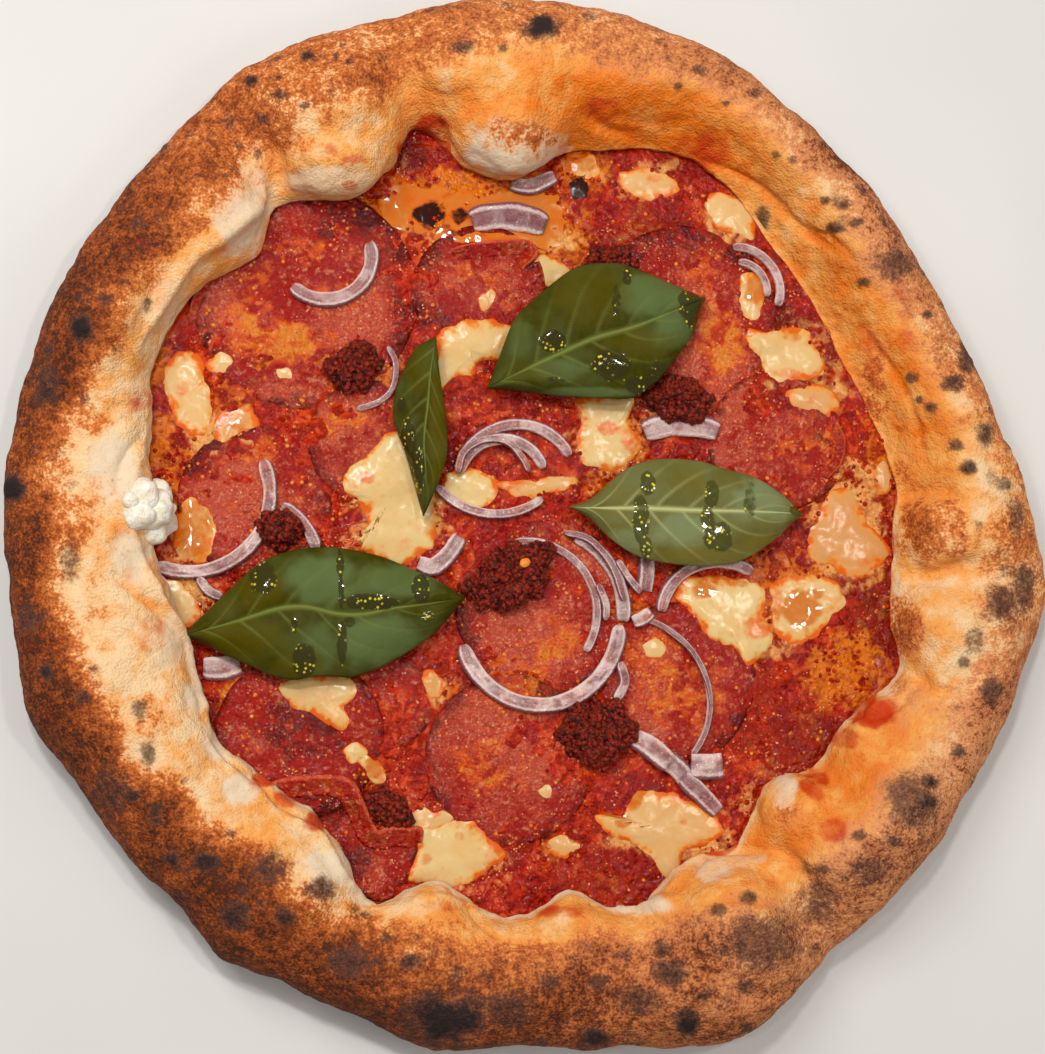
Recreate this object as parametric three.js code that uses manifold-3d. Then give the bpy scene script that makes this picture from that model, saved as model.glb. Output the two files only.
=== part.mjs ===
// A round spicy salami pizza with a tall puffed rim, lying on its flat underside.
// Millimetres, +Z up. The origin is the middle of the underside; +Y is the far side of the pizza.
// Angles are in degrees, counted from +X towards +Y as seen from above.
import * as THREE from "three";
import { mergeVertices } from "three/addons/utils/BufferGeometryUtils.js";
import Module from "manifold-3d";

const wasm = await Module();
wasm.setup();

const DEGREE = Math.PI / 180;

// ---- Driving dimensions ----
const clearance = 0.3; // gap between two pieces that touch
const rimOuterRadius = 151;
const rimInnerRadius = 109;
const rimHeight = 26;
const widestHeight = 10; // where the rim's outer and inner walls stand out furthest
const footInset = 12; // the underside leaves the table this far inside the outline
const heelInset = 4; // and is this far inside it at the height of the heel
const heelHeight = 3;
const archFullness = 0.85; // 1 is a half ellipse, and less is a fuller rim
const archSteps = 8;
const crustSegments = 80;
const sliceSegments = 26;
const moundSegments = 18;
const cheeseUnevenness = 0.1; // of the outline of a mound
const pasteUnevenness = 0.06;
const curdUnevenness = 0.07;
const leafSegments = [12, 4]; // along and across a leaf
const baseThickness = 4;
const sauceThickness = 2.1;
const sliceThickness = 1.4;
const onionHeight = 2.8;
const onionStep = 20; // degrees of arc for each step of an onion strip
const onionCorners = 6; // of a strip's section
const onionFullness = 1.08; // makes up for the rounding that the corners cut off
const leafThickness = 1;
const mozzarellaHeight = 2.4;

// Levels that the toppings lie on, from the dough up.
const sauceBottom = baseThickness + clearance;
const onSauce = sauceBottom + sauceThickness + clearance;
const onSlice = onSauce + sliceThickness + clearance;
const onCheese = onSauce + mozzarellaHeight + clearance;
const onTwoSlices = onSlice + sliceThickness + clearance;

// Bulges and hollows of the rim: middle angle, half of the angle it spans, and how far it stands out.
const outlineBulges = [
  { at: 32, half: 52, rise: -15 },
  { at: 46, half: 16, rise: 2.3 },
  { at: 91, half: 14, rise: 2.6 },
  { at: 122, half: 14, rise: 3 },
  { at: 148, half: 20, rise: -1.3 },
  { at: 203, half: 8, rise: 3.3 },
  { at: 235, half: 7, rise: 3.7 },
  { at: 259, half: 10, rise: 4.5 },
  { at: 276, half: 12, rise: 2 },
  { at: 291, half: 16, rise: 8.5 },
  { at: 330, half: 16, rise: -1.4 },
  { at: 352, half: 10, rise: 3.6 },
];
// The dough folds inwards in flaps, with notches between them.
const innerFlaps = [
  { at: 27, half: 28, rise: -5 },
  { at: 66, half: 19, rise: 9 },
  { at: 95, half: 13, rise: -9.5 },
  { at: 107, half: 6, rise: 9 },
  { at: 119, half: 7, rise: -3 },
  { at: 130, half: 8, rise: 8 },
  { at: 155, half: 22, rise: 9.5 },
  { at: 199, half: 14, rise: -2 },
  { at: 217, half: 7, rise: 3 },
  { at: 234, half: 5, rise: -2 },
  { at: 247, half: 9, rise: 11.5 },
  { at: 265, half: 12, rise: 7 },
  { at: 284, half: 10, rise: 8.5 },
  { at: 301, half: 5, rise: 2.5 },
  { at: 311, half: 7, rise: -5 },
  { at: 337, half: 9, rise: 6.5 },
  { at: 357, half: 10, rise: -3 },
];
const crestSwells = [
  { at: 27, half: 35, rise: -3 },
  { at: 95, half: 14, rise: 3 },
  { at: 107, half: 6, rise: -4 },
  { at: 118, half: 9, rise: 2 },
  { at: 129, half: 7, rise: -6 },
  { at: 152, half: 18, rise: 2 },
  { at: 174, half: 14, rise: -3 },
  { at: 207, half: 18, rise: 3 },
  { at: 235, half: 12, rise: 3 },
  { at: 262, half: 14, rise: 2 },
  { at: 291, half: 13, rise: 5 },
  { at: 304, half: 6, rise: -5 },
  { at: 317, half: 11, rise: 3 },
  { at: 352, half: 5, rise: -4 },
];

// Salami slices: middle, radius, and the level that each lies on.
const salamiSlices = [
  { x: -67, y: 63, radius: 33, z: onSauce },
  { x: 45, y: 58, radius: 29, z: onSauce },
  { x: -81, y: 2.5, radius: 22, z: onSauce },
  { x: 3, y: -28, radius: 26, z: onSauce },
  { x: -43, y: -54.5, radius: 14, z: onSauce },
  { x: -58.5, y: -88.5, radius: 22, z: onSauce },
  { x: 73, y: 22.5, radius: 21, z: onSlice },
  { x: -48, y: 20.5, radius: 18, z: onSlice },
  { x: -16, y: 65.5, radius: 20, z: onSlice },
  { x: 42.5, y: -48.5, radius: 23, z: onSlice },
  { x: -7, y: -71.5, radius: 24.5, z: onSlice },
  { x: -67, y: -64.5, radius: 24, z: onSlice },
];

// Melted mozzarella: middle, half length and half width, turn of its length, and the level it lies on.
const mozzarellaPatches = [
  { x: -42, y: 3, long: 17, wide: 12, turn: 100, z: onSauce },
  { x: -17.5, y: 47.5, long: 10, wide: 8, turn: 20, z: onSauce },
  { x: 20.5, y: 26, long: 10, wide: 8.5, turn: 90, z: onSauce },
  { x: -16, y: 8, long: 7.5, wide: 6, turn: 0, z: onSauce },
  { x: 76.5, y: 49.5, long: 10.5, wide: 7, turn: -12, z: onSlice },
  { x: 60, y: 92, long: 7.5, wide: 6, turn: -50, z: onSauce },
  { x: 64.5, y: 66, long: 6, wide: 3.8, turn: 100, z: onSlice },
  { x: 34.5, y: 99.5, long: 8, wide: 3.6, turn: -8, z: onSauce },
  { x: -101, y: 34.5, long: 11.5, wide: 6, turn: -78, z: onSauce },
  { x: 56, y: -28, long: 13.5, wide: 10, turn: -40, z: onSauce },
  { x: 81.5, y: -26, long: 11, wide: 9, turn: -10, z: onSauce },
  { x: 93.5, y: -5.5, long: 12, wide: 9, turn: 100, z: onSauce },
  { x: -24.5, y: -95.5, long: 13.5, wide: 8, turn: -8, z: onSauce },
  { x: -61.5, y: -53, long: 12, wide: 5, turn: -20, z: onTwoSlices },
  { x: 36.5, y: -90, long: 19, wide: 12, turn: -10, z: onSauce },
  { x: -97.5, y: -6, long: 9, wide: 5, turn: 95, z: onSlice },
  { x: 85, y: 35, long: 7.5, wide: 4, turn: -35, z: onTwoSlices },
  { x: -10.5, y: 91.5, long: 20, wide: 9, turn: -4, z: onSauce },
];

// Red onion: each piece is part of a ring, from one angle to another, with the width of its band.
const onionPieces = [
  { x: -61, y: 74.5, radius: 13, from: 222, to: 380, width: 4.6, z: onSlice },
  { x: -7.5, y: 59, radius: 30, from: 68, to: 112, width: 8.5, z: onCheese },
  { x: 61.5, y: 68.5, radius: 12.5, from: -24, to: 98, width: 2.8, z: onSlice },
  { x: 61.5, y: 67.5, radius: 8.6, from: -10, to: 92, width: 2.4, z: onSlice },
  { x: 43.5, y: -3.5, radius: 30, from: 69, to: 111, width: 7, z: onSlice },
  { x: -5.5, y: 8, radius: 18.2, from: 30, to: 152, width: 3.6, z: onSlice },
  { x: -9.5, y: 9.5, radius: 12.6, from: 18, to: 170, width: 3.6, z: onSlice },
  { x: -11.5, y: 20, radius: 20.8, from: 216, to: 312, width: 3, z: onSlice },
  { x: -100.5, y: 5.5, radius: 23.8, from: 250, to: 382, width: 4.2, z: onTwoSlices },
  { x: -79.5, y: -14.5, radius: 17.2, from: 12, to: 68, width: 3.8, z: onSlice },
  { x: 1.5, y: -32.5, radius: 24, from: 198, to: 352, width: 4.8, z: onTwoSlices },
  { x: 2, y: -29.5, radius: 24.6, from: -6, to: 66, width: 4.4, z: onSlice },
  { x: -3.5, y: -29.5, radius: 21.6, from: -30, to: 96, width: 2.6, z: onSlice },
  { x: 54.5, y: -30, radius: 17, from: 54, to: 174, width: 3.8, z: onTwoSlices },
  { x: 26, y: -54, radius: 25, from: -38, to: 78, width: 1.8, z: onTwoSlices },
  { x: 33, y: -84, radius: 14, from: 14, to: 78, width: 6, z: onTwoSlices },
];

// Clumps of hot soft sausage paste: middle, half length, half width, turn, level and height.
const pasteClumps = [
  { x: -53.5, y: 42, long: 7.6, wide: 7, turn: 40, z: onSlice, height: 6 },
  { x: -8.5, y: -19, long: 12.8, wide: 9.4, turn: 28, z: onSlice, height: 7 },
  { x: 18, y: -63.5, long: 10.4, wide: 9.6, turn: 30, z: onTwoSlices, height: 7 },
  { x: 43, y: 34, long: 10, wide: 6.4, turn: -6, z: onSlice, height: 6.5 },
  { x: -74, y: -6, long: 6.2, wide: 5.6, turn: -40, z: onSlice, height: 6 },
  { x: -42, y: -85, long: 8.6, wide: 5, turn: -35, z: onSlice, height: 4.5 },
  { x: 23, y: 76, long: 7.4, wide: 4.4, turn: 5, z: onSlice, height: 5 },
];

// The fresh curd that comes out of the torn rim.
const ricottaCurd = { x: -108.5, y: -1, long: 8.4, wide: 6.6, turn: 75, z: onSauce, height: 9.5 };

// Basil leaves: stalk end, tip, half width, height of both ends and of the middle above them, sideways lean.
const basilLeaves = [
  { stalk: [-14, 35.5], tip: [50, 64], half: 18.5, z: 14.2, arch: 5, lean: 0 },
  { stalk: [-29, 51], tip: [-32.5, -2], half: 8, z: 14.5, arch: 3.5, lean: 0.55 },
  { stalk: [9.5, 1.5], tip: [78.5, 0], half: 14.2, z: 13.6, arch: 3, lean: 0 },
  { stalk: [-100.5, -36], tip: [-21.5, -26], half: 18.4, z: 14.2, arch: 4.5, lean: 0 },
];

// ---- Looks, as seen from a distance ----
const finish = (color, roughness) =>
  new THREE.MeshStandardMaterial({ color, roughness, metalness: 0 });
const finishes = {
  dough: finish(0xc98a52, 0.85),
  sauce: finish(0xb52a10, 0.35),
  salami: finish(0xb04a3a, 0.45),
  mozzarella: finish(0xf0d79a, 0.4),
  onion: finish(0xb58a98, 0.35),
  paste: finish(0x4a140e, 0.6),
  ricotta: finish(0xf4efe2, 0.6),
  basil: finish(0x3c5a1e, 0.35),
};

// ---- Solids from geometries ----
/** A closed geometry as a solid. */
function solidOf(geometry) {
  const bare = geometry.clone();
  bare.deleteAttribute("normal");
  bare.deleteAttribute("uv");
  const merged = mergeVertices(bare, 1e-4);
  const solid = new wasm.Manifold(
    new wasm.Mesh({
      numProp: 3,
      vertProperties: merged.attributes.position.array,
      triVerts: new Uint32Array(merged.index.array),
    }),
  );
  return solid;
}

/** A solid's surface as a geometry. */
function geometryOf(solid) {
  const { vertProperties, triVerts, numProp } = solid.getMesh();
  const geometry = new THREE.BufferGeometry();
  geometry.setAttribute("position", new THREE.BufferAttribute(vertProperties, numProp));
  geometry.setIndex(new THREE.BufferAttribute(triVerts, 1));
  geometry.computeVertexNormals();
  return geometry;
}

/** The largest body of a solid that a cut may have parted. */
function largestBody(solid) {
  return solid.decompose().reduce((best, body) => (body.volume() > best.volume() ? body : best));
}

/** A turned solid whose stations are functions of the angle, each giving a radius and a height. */
function turnedSolid(segments, stations) {
  const profile = stations.map(() => new THREE.Vector2());
  const geometry = new THREE.LatheGeometry(profile, segments);
  const position = geometry.attributes.position;
  for (let i = 0; i <= segments; i++) {
    const angle = ((i % segments) * 360) / segments;
    stations.forEach((station, j) => {
      const [radius, height] = station(angle);
      const x = radius * Math.cos(angle * DEGREE);
      const y = radius * Math.sin(angle * DEGREE);
      position.setXYZ(i * stations.length + j, x, y, height);
    });
  }
  return solidOf(geometry);
}

/** How far a set of bulges stands out at an angle. */
function bulgeAt(bulges, angle) {
  return bulges.reduce((sum, { at, half, rise }) => {
    const away = Math.abs(((angle - at + 900) % 360) - 180);
    return away < half ? sum + (rise * (1 + Math.cos((Math.PI * away) / half))) / 2 : sum;
  }, 0);
}

// ---- Dough ----
const outerRadius = (angle) => rimOuterRadius + bulgeAt(outlineBulges, angle);
const innerRadius = (angle) => rimInnerRadius + bulgeAt(innerFlaps, angle);
const crestHeight = (angle) => rimHeight + bulgeAt(crestSwells, angle);

/** The station of the rim's arch at a share of the way over it, from its outer to its inner wall. */
function archStation(share) {
  return (angle) => {
    const middle = (outerRadius(angle) + innerRadius(angle)) / 2;
    const halfWidth = (outerRadius(angle) - innerRadius(angle)) / 2;
    const rise = crestHeight(angle) - widestHeight;
    const over = Math.PI * share;
    return [middle + halfWidth * Math.cos(over), widestHeight + rise * Math.sin(over) ** archFullness];
  };
}

/** The dough: a thin base and a tall rim that is one with it. */
function crust() {
  const arch = Array.from({ length: archSteps + 1 }, (_, i) => archStation(i / archSteps));
  return turnedSolid(crustSegments, [
    () => [0, 0],
    (angle) => [outerRadius(angle) - footInset, 0],
    (angle) => [outerRadius(angle) - heelInset, heelHeight],
    ...arch,
    (angle) => [innerRadius(angle), baseThickness],
    () => [0, baseThickness],
  ]);
}

/** A disc with the well's outline, between two heights. */
function wellDisc(bottom, top) {
  const wall = (angle) => innerRadius(angle) - clearance;
  return turnedSolid(crustSegments, [
    () => [0, bottom],
    (angle) => [wall(angle), bottom],
    (angle) => [wall(angle), top],
    () => [0, top],
  ]);
}

// ---- Toppings. Each takes a growth, by which it is larger all round to cut its place with a gap. ----
/** A sausage slice with a slightly uneven edge. */
function slice({ x, y, radius, z }, grow) {
  const edge = (angle) => {
    const wide = 0.03 * Math.sin(2 * angle * DEGREE + x);
    const fine = 0.02 * Math.sin(5 * angle * DEGREE + y);
    return radius * (1 + wide + fine) + grow;
  };
  const top = z + sliceThickness + grow;
  return turnedSolid(sliceSegments, [
    () => [0, z - grow],
    (angle) => [edge(angle), z - grow],
    (angle) => [edge(angle), top],
    () => [0, top],
  ]).translate([x, y, 0]);
}

/** A rounded mound on an uneven oval, such as melted cheese, paste or curd. */
function mound({ x, y, long, wide, turn, z, height }, unevenness, grow) {
  const edge = (angle, share) => {
    const turned = (angle - turn) * DEGREE;
    const oval = 1 / Math.hypot(Math.cos(turned) / long, Math.sin(turned) / wide);
    const wave = Math.sin(3 * turned + x) + 0.7 * Math.sin(5 * turned + y);
    return oval * share * (1 + unevenness * wave) + grow;
  };
  const foot = 0.94; // shares of the outline at the foot and at the shoulder
  const shoulder = 0.62;
  return turnedSolid(moundSegments, [
    () => [0, z - grow],
    (angle) => [edge(angle, foot), z - grow],
    (angle) => [edge(angle, 1), z + height * 0.35],
    (angle) => [edge(angle, shoulder), z + height * 0.88 + grow],
    () => [0, z + height + grow],
  ]).translate([x, y, 0]);
}

/** Part of an onion ring: a rounded band swept along an arc. */
function onionPiece({ x, y, radius, from, to, width, z }, grow) {
  const middleZ = z + onionHeight / 2;
  const extra = grow / radius / DEGREE;
  const path = new THREE.Curve();
  path.getPoint = (t, target = new THREE.Vector3()) => {
    const angle = (from - extra + (to - from + 2 * extra) * t) * DEGREE;
    return target.set(x + radius * Math.cos(angle), y + radius * Math.sin(angle), middleZ);
  };
  const corners = Array.from({ length: onionCorners }, (_, i) => {
    const around = ((i + 0.5) / onionCorners) * 2 * Math.PI;
    const up = (onionHeight / 2 + grow) * Math.cos(around);
    const across = (width / 2 + grow) * Math.sin(around);
    return new THREE.Vector2(up, across).multiplyScalar(onionFullness);
  });
  const section = new THREE.Shape(corners);
  const steps = Math.max(4, Math.round((to - from) / onionStep));
  return solidOf(
    new THREE.ExtrudeGeometry(section, { extrudePath: path, steps, bevelEnabled: false }),
  );
}

/** A basil leaf: a thin plate drawn to an oval with two points, arched along its length. */
function leaf({ stalk, tip, half, z, arch, lean }, grow) {
  const from = new THREE.Vector2(...stalk);
  const along = new THREE.Vector2(...tip).sub(from);
  const across = new THREE.Vector2(-along.y, along.x).normalize();
  const pointWidth = 0.08; // of the half width, so that both ends stay solid
  const droop = 0.75; // of the arch, by which both sides hang down
  const geometry = new THREE.BoxGeometry(1, 2, 1, ...leafSegments, 1);
  const position = geometry.attributes.position;
  for (let i = 0; i < position.count; i++) {
    const u = position.getX(i) + 0.5;
    const v = position.getY(i);
    const outline = Math.sin(Math.PI * u ** 0.85) ** 0.9; // widest nearer the stalk
    const side = v * (half * Math.max(pointWidth, outline) + grow);
    const length = u + ((u * 2 - 1) * grow) / along.length();
    const rise = arch * (Math.sin(Math.PI * u) - droop * (side / (half + grow)) ** 2);
    const layer = position.getZ(i) * (leafThickness + 2 * grow);
    const point = from.clone().addScaledVector(along, length).addScaledVector(across, side);
    position.setXYZ(i, point.x, point.y, z + rise + lean * side + layer);
  }
  return solidOf(geometry);
}

// ---- Putting it together ----
const placed = [];

/** Adds a piece, after cutting its place, with a gap, out of the pieces that it meets. */
function place(name, look, make) {
  const cutter = make(clearance);
  for (const other of placed) {
    if (other.solid.intersect(cutter).volume() > 0) {
      other.solid = largestBody(other.solid.subtract(cutter));
    }
  }
  placed.push({ name, look, solid: make(0) });
}

const well = wellDisc(baseThickness, 2 * rimHeight);
/** A topping trimmed to the well, so that it stays clear of the rim. */
const inWell = (solid) => largestBody(solid.intersect(well));

place("crust", "dough", crust);
placed.push({
  name: "tomato_sauce",
  look: "sauce",
  solid: wellDisc(sauceBottom, sauceBottom + sauceThickness),
});
salamiSlices.forEach((piece, i) =>
  place(`salami_${i + 1}`, "salami", (grow) => inWell(slice(piece, grow))),
);
mozzarellaPatches.forEach((piece, i) =>
  place(`mozzarella_${i + 1}`, "mozzarella", (grow) =>
    inWell(mound({ ...piece, height: mozzarellaHeight }, cheeseUnevenness, grow)),
  ),
);
onionPieces.forEach((piece, i) =>
  place(`onion_${i + 1}`, "onion", (grow) => inWell(onionPiece(piece, grow))),
);
pasteClumps.forEach((piece, i) =>
  place(`sausage_paste_${i + 1}`, "paste", (grow) => inWell(mound(piece, pasteUnevenness, grow))),
);
place("ricotta_curd", "ricotta", (grow) => mound(ricottaCurd, curdUnevenness, grow));
basilLeaves.forEach((piece, i) => place(`basil_${i + 1}`, "basil", (grow) => leaf(piece, grow)));

const pizza = new THREE.Group();
for (const { name, look, solid } of placed) {
  const mesh = new THREE.Mesh(geometryOf(solid), finishes[look]);
  mesh.name = name;
  pizza.add(mesh);
}

export default pizza;
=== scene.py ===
"""A round spicy salami pizza with a tall puffed rim, built piece by piece round its fixed frame.

Sizes in this file are millimetres and angles are degrees, counter-clockwise from +X seen from above.
"""
from __future__ import annotations

import logging
import math
from dataclasses import dataclass
from enum import Enum, IntEnum
from itertools import product
from typing import Any, Iterable, Sequence

import bpy
import numpy as np
from mathutils import Matrix, Vector

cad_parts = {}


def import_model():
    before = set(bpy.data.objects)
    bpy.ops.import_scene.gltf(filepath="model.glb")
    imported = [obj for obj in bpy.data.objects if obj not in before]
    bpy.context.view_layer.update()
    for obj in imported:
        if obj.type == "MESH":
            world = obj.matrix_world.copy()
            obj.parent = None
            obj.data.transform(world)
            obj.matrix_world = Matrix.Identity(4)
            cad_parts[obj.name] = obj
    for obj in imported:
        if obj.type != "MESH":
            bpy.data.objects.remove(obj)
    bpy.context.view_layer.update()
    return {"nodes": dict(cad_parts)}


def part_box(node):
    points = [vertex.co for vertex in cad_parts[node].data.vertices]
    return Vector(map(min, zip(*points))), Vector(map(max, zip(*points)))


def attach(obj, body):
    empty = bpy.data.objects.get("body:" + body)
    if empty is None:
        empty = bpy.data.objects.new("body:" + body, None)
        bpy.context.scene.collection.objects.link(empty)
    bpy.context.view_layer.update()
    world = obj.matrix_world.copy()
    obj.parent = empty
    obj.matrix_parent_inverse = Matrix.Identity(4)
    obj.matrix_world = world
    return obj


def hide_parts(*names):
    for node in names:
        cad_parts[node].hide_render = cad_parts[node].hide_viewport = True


MM = 0.001
BODY = "root"
LOG = logging.getLogger("pizza")
# How many pixels of the photo a millimetre of the pizza takes.
PIXELS_PER_MM = 3.45
# The height at which flat toppings are drawn from their pixels.
TOPPING_HEIGHT = 9.0

Colour = tuple[float, float, float, float]
Bulges = Sequence[tuple[float, float, float]]
Pixels = Sequence[tuple[float, float]]
Rows = Sequence[tuple[float, ...]]


class Seed(IntEnum):
    """The fixed seed of each noise; a layer of many pieces counts on from its own."""

    CRUST_PLAN = 3
    CRUST_SWELL = 11
    CRUST_MARKS = 17
    CHAR_DOTS = 23
    SAUCE_BED = 40
    SAUCE_FILM = 41
    SALAMI = 100
    CHEESE = 200
    BLISTER = 260
    ONION_STRIPS = 300
    ONION_SCRAPS = 330
    SALAMI_FOLDS = 370
    PASTE_CORES = 400
    PASTE_CRUMBS = 420
    CHILLI_SEED = 440
    CURD = 460
    BASIL = 500
    SPRINKLES = 600


# ---------------------------------------------------------------------------------------------------------
# Small tools
# ---------------------------------------------------------------------------------------------------------


def paint(red: float, green: float, blue: float) -> Colour:
    """Return a linear colour for a screen colour given as 0 to 255."""
    linear = [((c / 255 + 0.055) / 1.055) ** 2.4 if c > 10 else c / 255 / 12.92 for c in (red, green, blue)]
    return (linear[0], linear[1], linear[2], 1.0)


def soft_step(value: np.ndarray, low: float, high: float) -> np.ndarray:
    """Return 0 below low and 1 above high, with a smooth way between."""
    share = np.clip((value - low) / (high - low), 0.0, 1.0)
    return share * share * (3 - 2 * share)


def bulge_at(angles: np.ndarray, bulges: Bulges) -> np.ndarray:
    """Add up smooth bumps round a ring.

    Args:
        angles: where to look, in degrees.
        bulges: for each bump its angle, half width and height.

    Returns:
        The sum of the bumps at each angle.
    """
    total = np.zeros_like(angles)
    for at, half, rise in bulges:
        away = np.abs((angles - at + 180) % 360 - 180)
        total += np.where(away < half, rise * (1 + np.cos(np.pi * away / half)) / 2, 0.0)
    return total


def round_table(angles: np.ndarray, table: Sequence[tuple[float, float]]) -> np.ndarray:
    """Return the value of a table of angle and value at each angle, joined smoothly round the ring."""
    return np.interp(angles % 360, [row[0] for row in table], [row[1] for row in table], period=360)


def headings(angles: np.ndarray) -> np.ndarray:
    """Return the direction in the plane that each angle points in."""
    return np.stack([np.cos(np.radians(angles)), np.sin(np.radians(angles))], axis=-1)


def smooth_line(points: Pixels, count: int) -> np.ndarray:
    """Run a smooth curve through points.

    Args:
        points: the points that the curve passes through.
        count: how many points the curve gets, spaced by its length.

    Returns:
        An array of count rows and two columns.
    """
    knots = np.asarray(points, float)
    padded = np.vstack([2 * knots[0] - knots[1], knots, 2 * knots[-1] - knots[-2]])
    share = np.linspace(0, 1, 24, endpoint=False)[:, None]
    parts = []
    for i in range(1, len(padded) - 2):
        a, b, c, d = padded[i - 1 : i + 3]
        parts.append(
            0.5 * (2 * b + (c - a) * share + (2 * a - 5 * b + 4 * c - d) * share**2
                   + (3 * b - a - 3 * c + d) * share**3)
        )
    line = np.vstack([*parts, knots[-1:]])
    run = np.concatenate([[0], np.cumsum(np.linalg.norm(np.diff(line, axis=0), axis=1))])
    at = np.linspace(0, run[-1], count)
    return np.stack([np.interp(at, run, line[:, k]) for k in range(line.shape[1])], axis=1)


class Ripple:
    """Repeatable smooth noise in space, about -1 to 1."""

    def __init__(self, seed: int) -> None:
        """Fill the tables from a seed."""
        dice = np.random.default_rng(seed)
        self.order = dice.permutation(256)
        ways = dice.normal(size=(256, 3))
        self.ways = ways / np.linalg.norm(ways, axis=1, keepdims=True)

    def at(self, points: np.ndarray, size: float) -> np.ndarray:
        """Look the noise up.

        Args:
            points: places, with three numbers in the last axis.
            size: the length of one ripple.

        Returns:
            One value for each place.
        """
        spots = points / size
        cell = np.floor(spots).astype(int)
        part = spots - cell
        fade = part**3 * (part * (part * 6 - 15) + 10)
        total = np.zeros(points.shape[:-1])
        for corner in product((0, 1), repeat=3):
            mixed = self.order[(cell[..., 2] + corner[2]) & 255]
            mixed = self.order[(mixed + cell[..., 1] + corner[1]) & 255]
            mixed = self.order[(mixed + cell[..., 0] + corner[0]) & 255]
            pull = ((part - np.array(corner)) * self.ways[mixed]).sum(-1)
            total += pull * np.prod(np.where(np.array(corner) == 1, fade, 1 - fade), axis=-1)
        return total * 1.7

    def layers(self, points: np.ndarray, size: float, count: int = 3) -> np.ndarray:
        """Look the noise up with finer and weaker ripples added to it.

        Args:
            points: places, with three numbers in the last axis.
            size: the length of the widest ripple.
            count: how many sizes are added up.

        Returns:
            One value for each place.
        """
        total, weight, norm = np.zeros(points.shape[:-1]), 1.0, 0.0
        for step in range(count):
            total += weight * self.at(points + 37.7 * step, size / 2**step)
            norm += weight
            weight /= 2
        return total / norm**0.7

    def flat(self, x: np.ndarray, y: np.ndarray, size: float, count: int = 1, level: float = 0.0
             ) -> np.ndarray:
        """Return the noise on a plane."""
        return self.layers(np.stack([x, y, np.full_like(x, level)], axis=-1), size, count)


@dataclass(frozen=True)
class PhotoCamera:
    """The place that the pizza is looked at from, and the pixels that each point of it falls on."""

    target: tuple[float, float, float] = (-3.715, -4.25, 10.0)
    distance: float = 650.0
    tilt: float = 9.0
    azimuth: float = 225.0
    focal: float = 2242.5
    middle: tuple[float, float] = (522.5, 527.0)
    width: float = 1045.0

    def axes(self) -> tuple[np.ndarray, np.ndarray, np.ndarray, np.ndarray]:
        """Return the camera's place and its right, up and forward directions."""
        lean, turn = math.radians(self.tilt), math.radians(self.azimuth)
        back = np.array([math.sin(lean) * math.cos(turn), math.sin(lean) * math.sin(turn), math.cos(lean)])
        forward = -back
        up = np.array([0.0, 1.0, 0.0]) - forward * forward[1]
        up /= np.linalg.norm(up)
        return np.array(self.target) + back * self.distance, np.cross(forward, up), up, forward

    def project(self, points: np.ndarray) -> np.ndarray:
        """Return the pixel of each point."""
        place, right, up, forward = self.axes()
        away = points - place
        depth = away @ forward
        return np.stack([self.middle[0] + self.focal * (away @ right) / depth,
                         self.middle[1] - self.focal * (away @ up) / depth], axis=-1)

    def unproject(self, pixels: np.ndarray, height: np.ndarray | float) -> np.ndarray:
        """Find the points at a height that fall on pixels.

        Args:
            pixels: an array whose last axis is the pixel's two numbers.
            height: the height of each point.

        Returns:
            The points, with three numbers in the last axis.
        """
        place, right, up, forward = self.axes()
        pixels = np.asarray(pixels, float)
        ray = (forward * self.focal + right * (pixels[..., :1] - self.middle[0])
               - up * (pixels[..., 1:] - self.middle[1]))
        reach = (np.asarray(height, float)[..., None] - place[2]) / ray[..., 2:]
        return place + ray * reach

    def build(self) -> None:
        """Make the camera and look through it."""
        place, right, up, forward = self.axes()
        data = bpy.data.cameras.new("photo_camera")
        data.sensor_fit, data.sensor_width = "HORIZONTAL", 36.0
        data.lens = 36.0 * self.focal / self.width
        data.clip_start, data.clip_end = 0.05, 10.0
        camera = bpy.data.objects.new("photo_camera", data)
        turn = Matrix((right, up, -forward)).transposed().to_4x4()
        camera.matrix_world = Matrix.Translation(Vector(place) * MM) @ turn
        bpy.context.scene.collection.objects.link(camera)
        bpy.context.scene.camera = camera


CAMERA = PhotoCamera()


def line_on(pixels: Pixels | np.ndarray, height: float) -> np.ndarray:
    """Return where a row of pixels falls at a height, as x and y."""
    return CAMERA.unproject(np.array(pixels, float), np.full(len(pixels), height))[:, :2]


def mesh_piece(name: str, points: np.ndarray, faces: Iterable, marks: dict[str, np.ndarray] | None = None,
               finish: bpy.types.Material | None = None) -> bpy.types.Object:
    """Make a smooth mesh object at the origin.

    Args:
        name: the piece's name.
        points: the corners, in millimetres.
        faces: the corner numbers of each face.
        marks: values painted on the corners, by name.
        finish: its material.

    Returns:
        The new object.
    """
    mesh = bpy.data.meshes.new(name)
    mesh.from_pydata((np.asarray(points).reshape(-1, 3) * MM).tolist(), [], faces)
    mesh.shade_smooth()
    for label, values in (marks or {}).items():
        layer = mesh.attributes.new(label, "FLOAT", "POINT")
        layer.data.foreach_set("value", np.asarray(values, np.float32).ravel())
    if finish is not None:
        mesh.materials.append(finish)
    piece = bpy.data.objects.new(name, mesh)
    bpy.context.scene.collection.objects.link(piece)
    return piece


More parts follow.
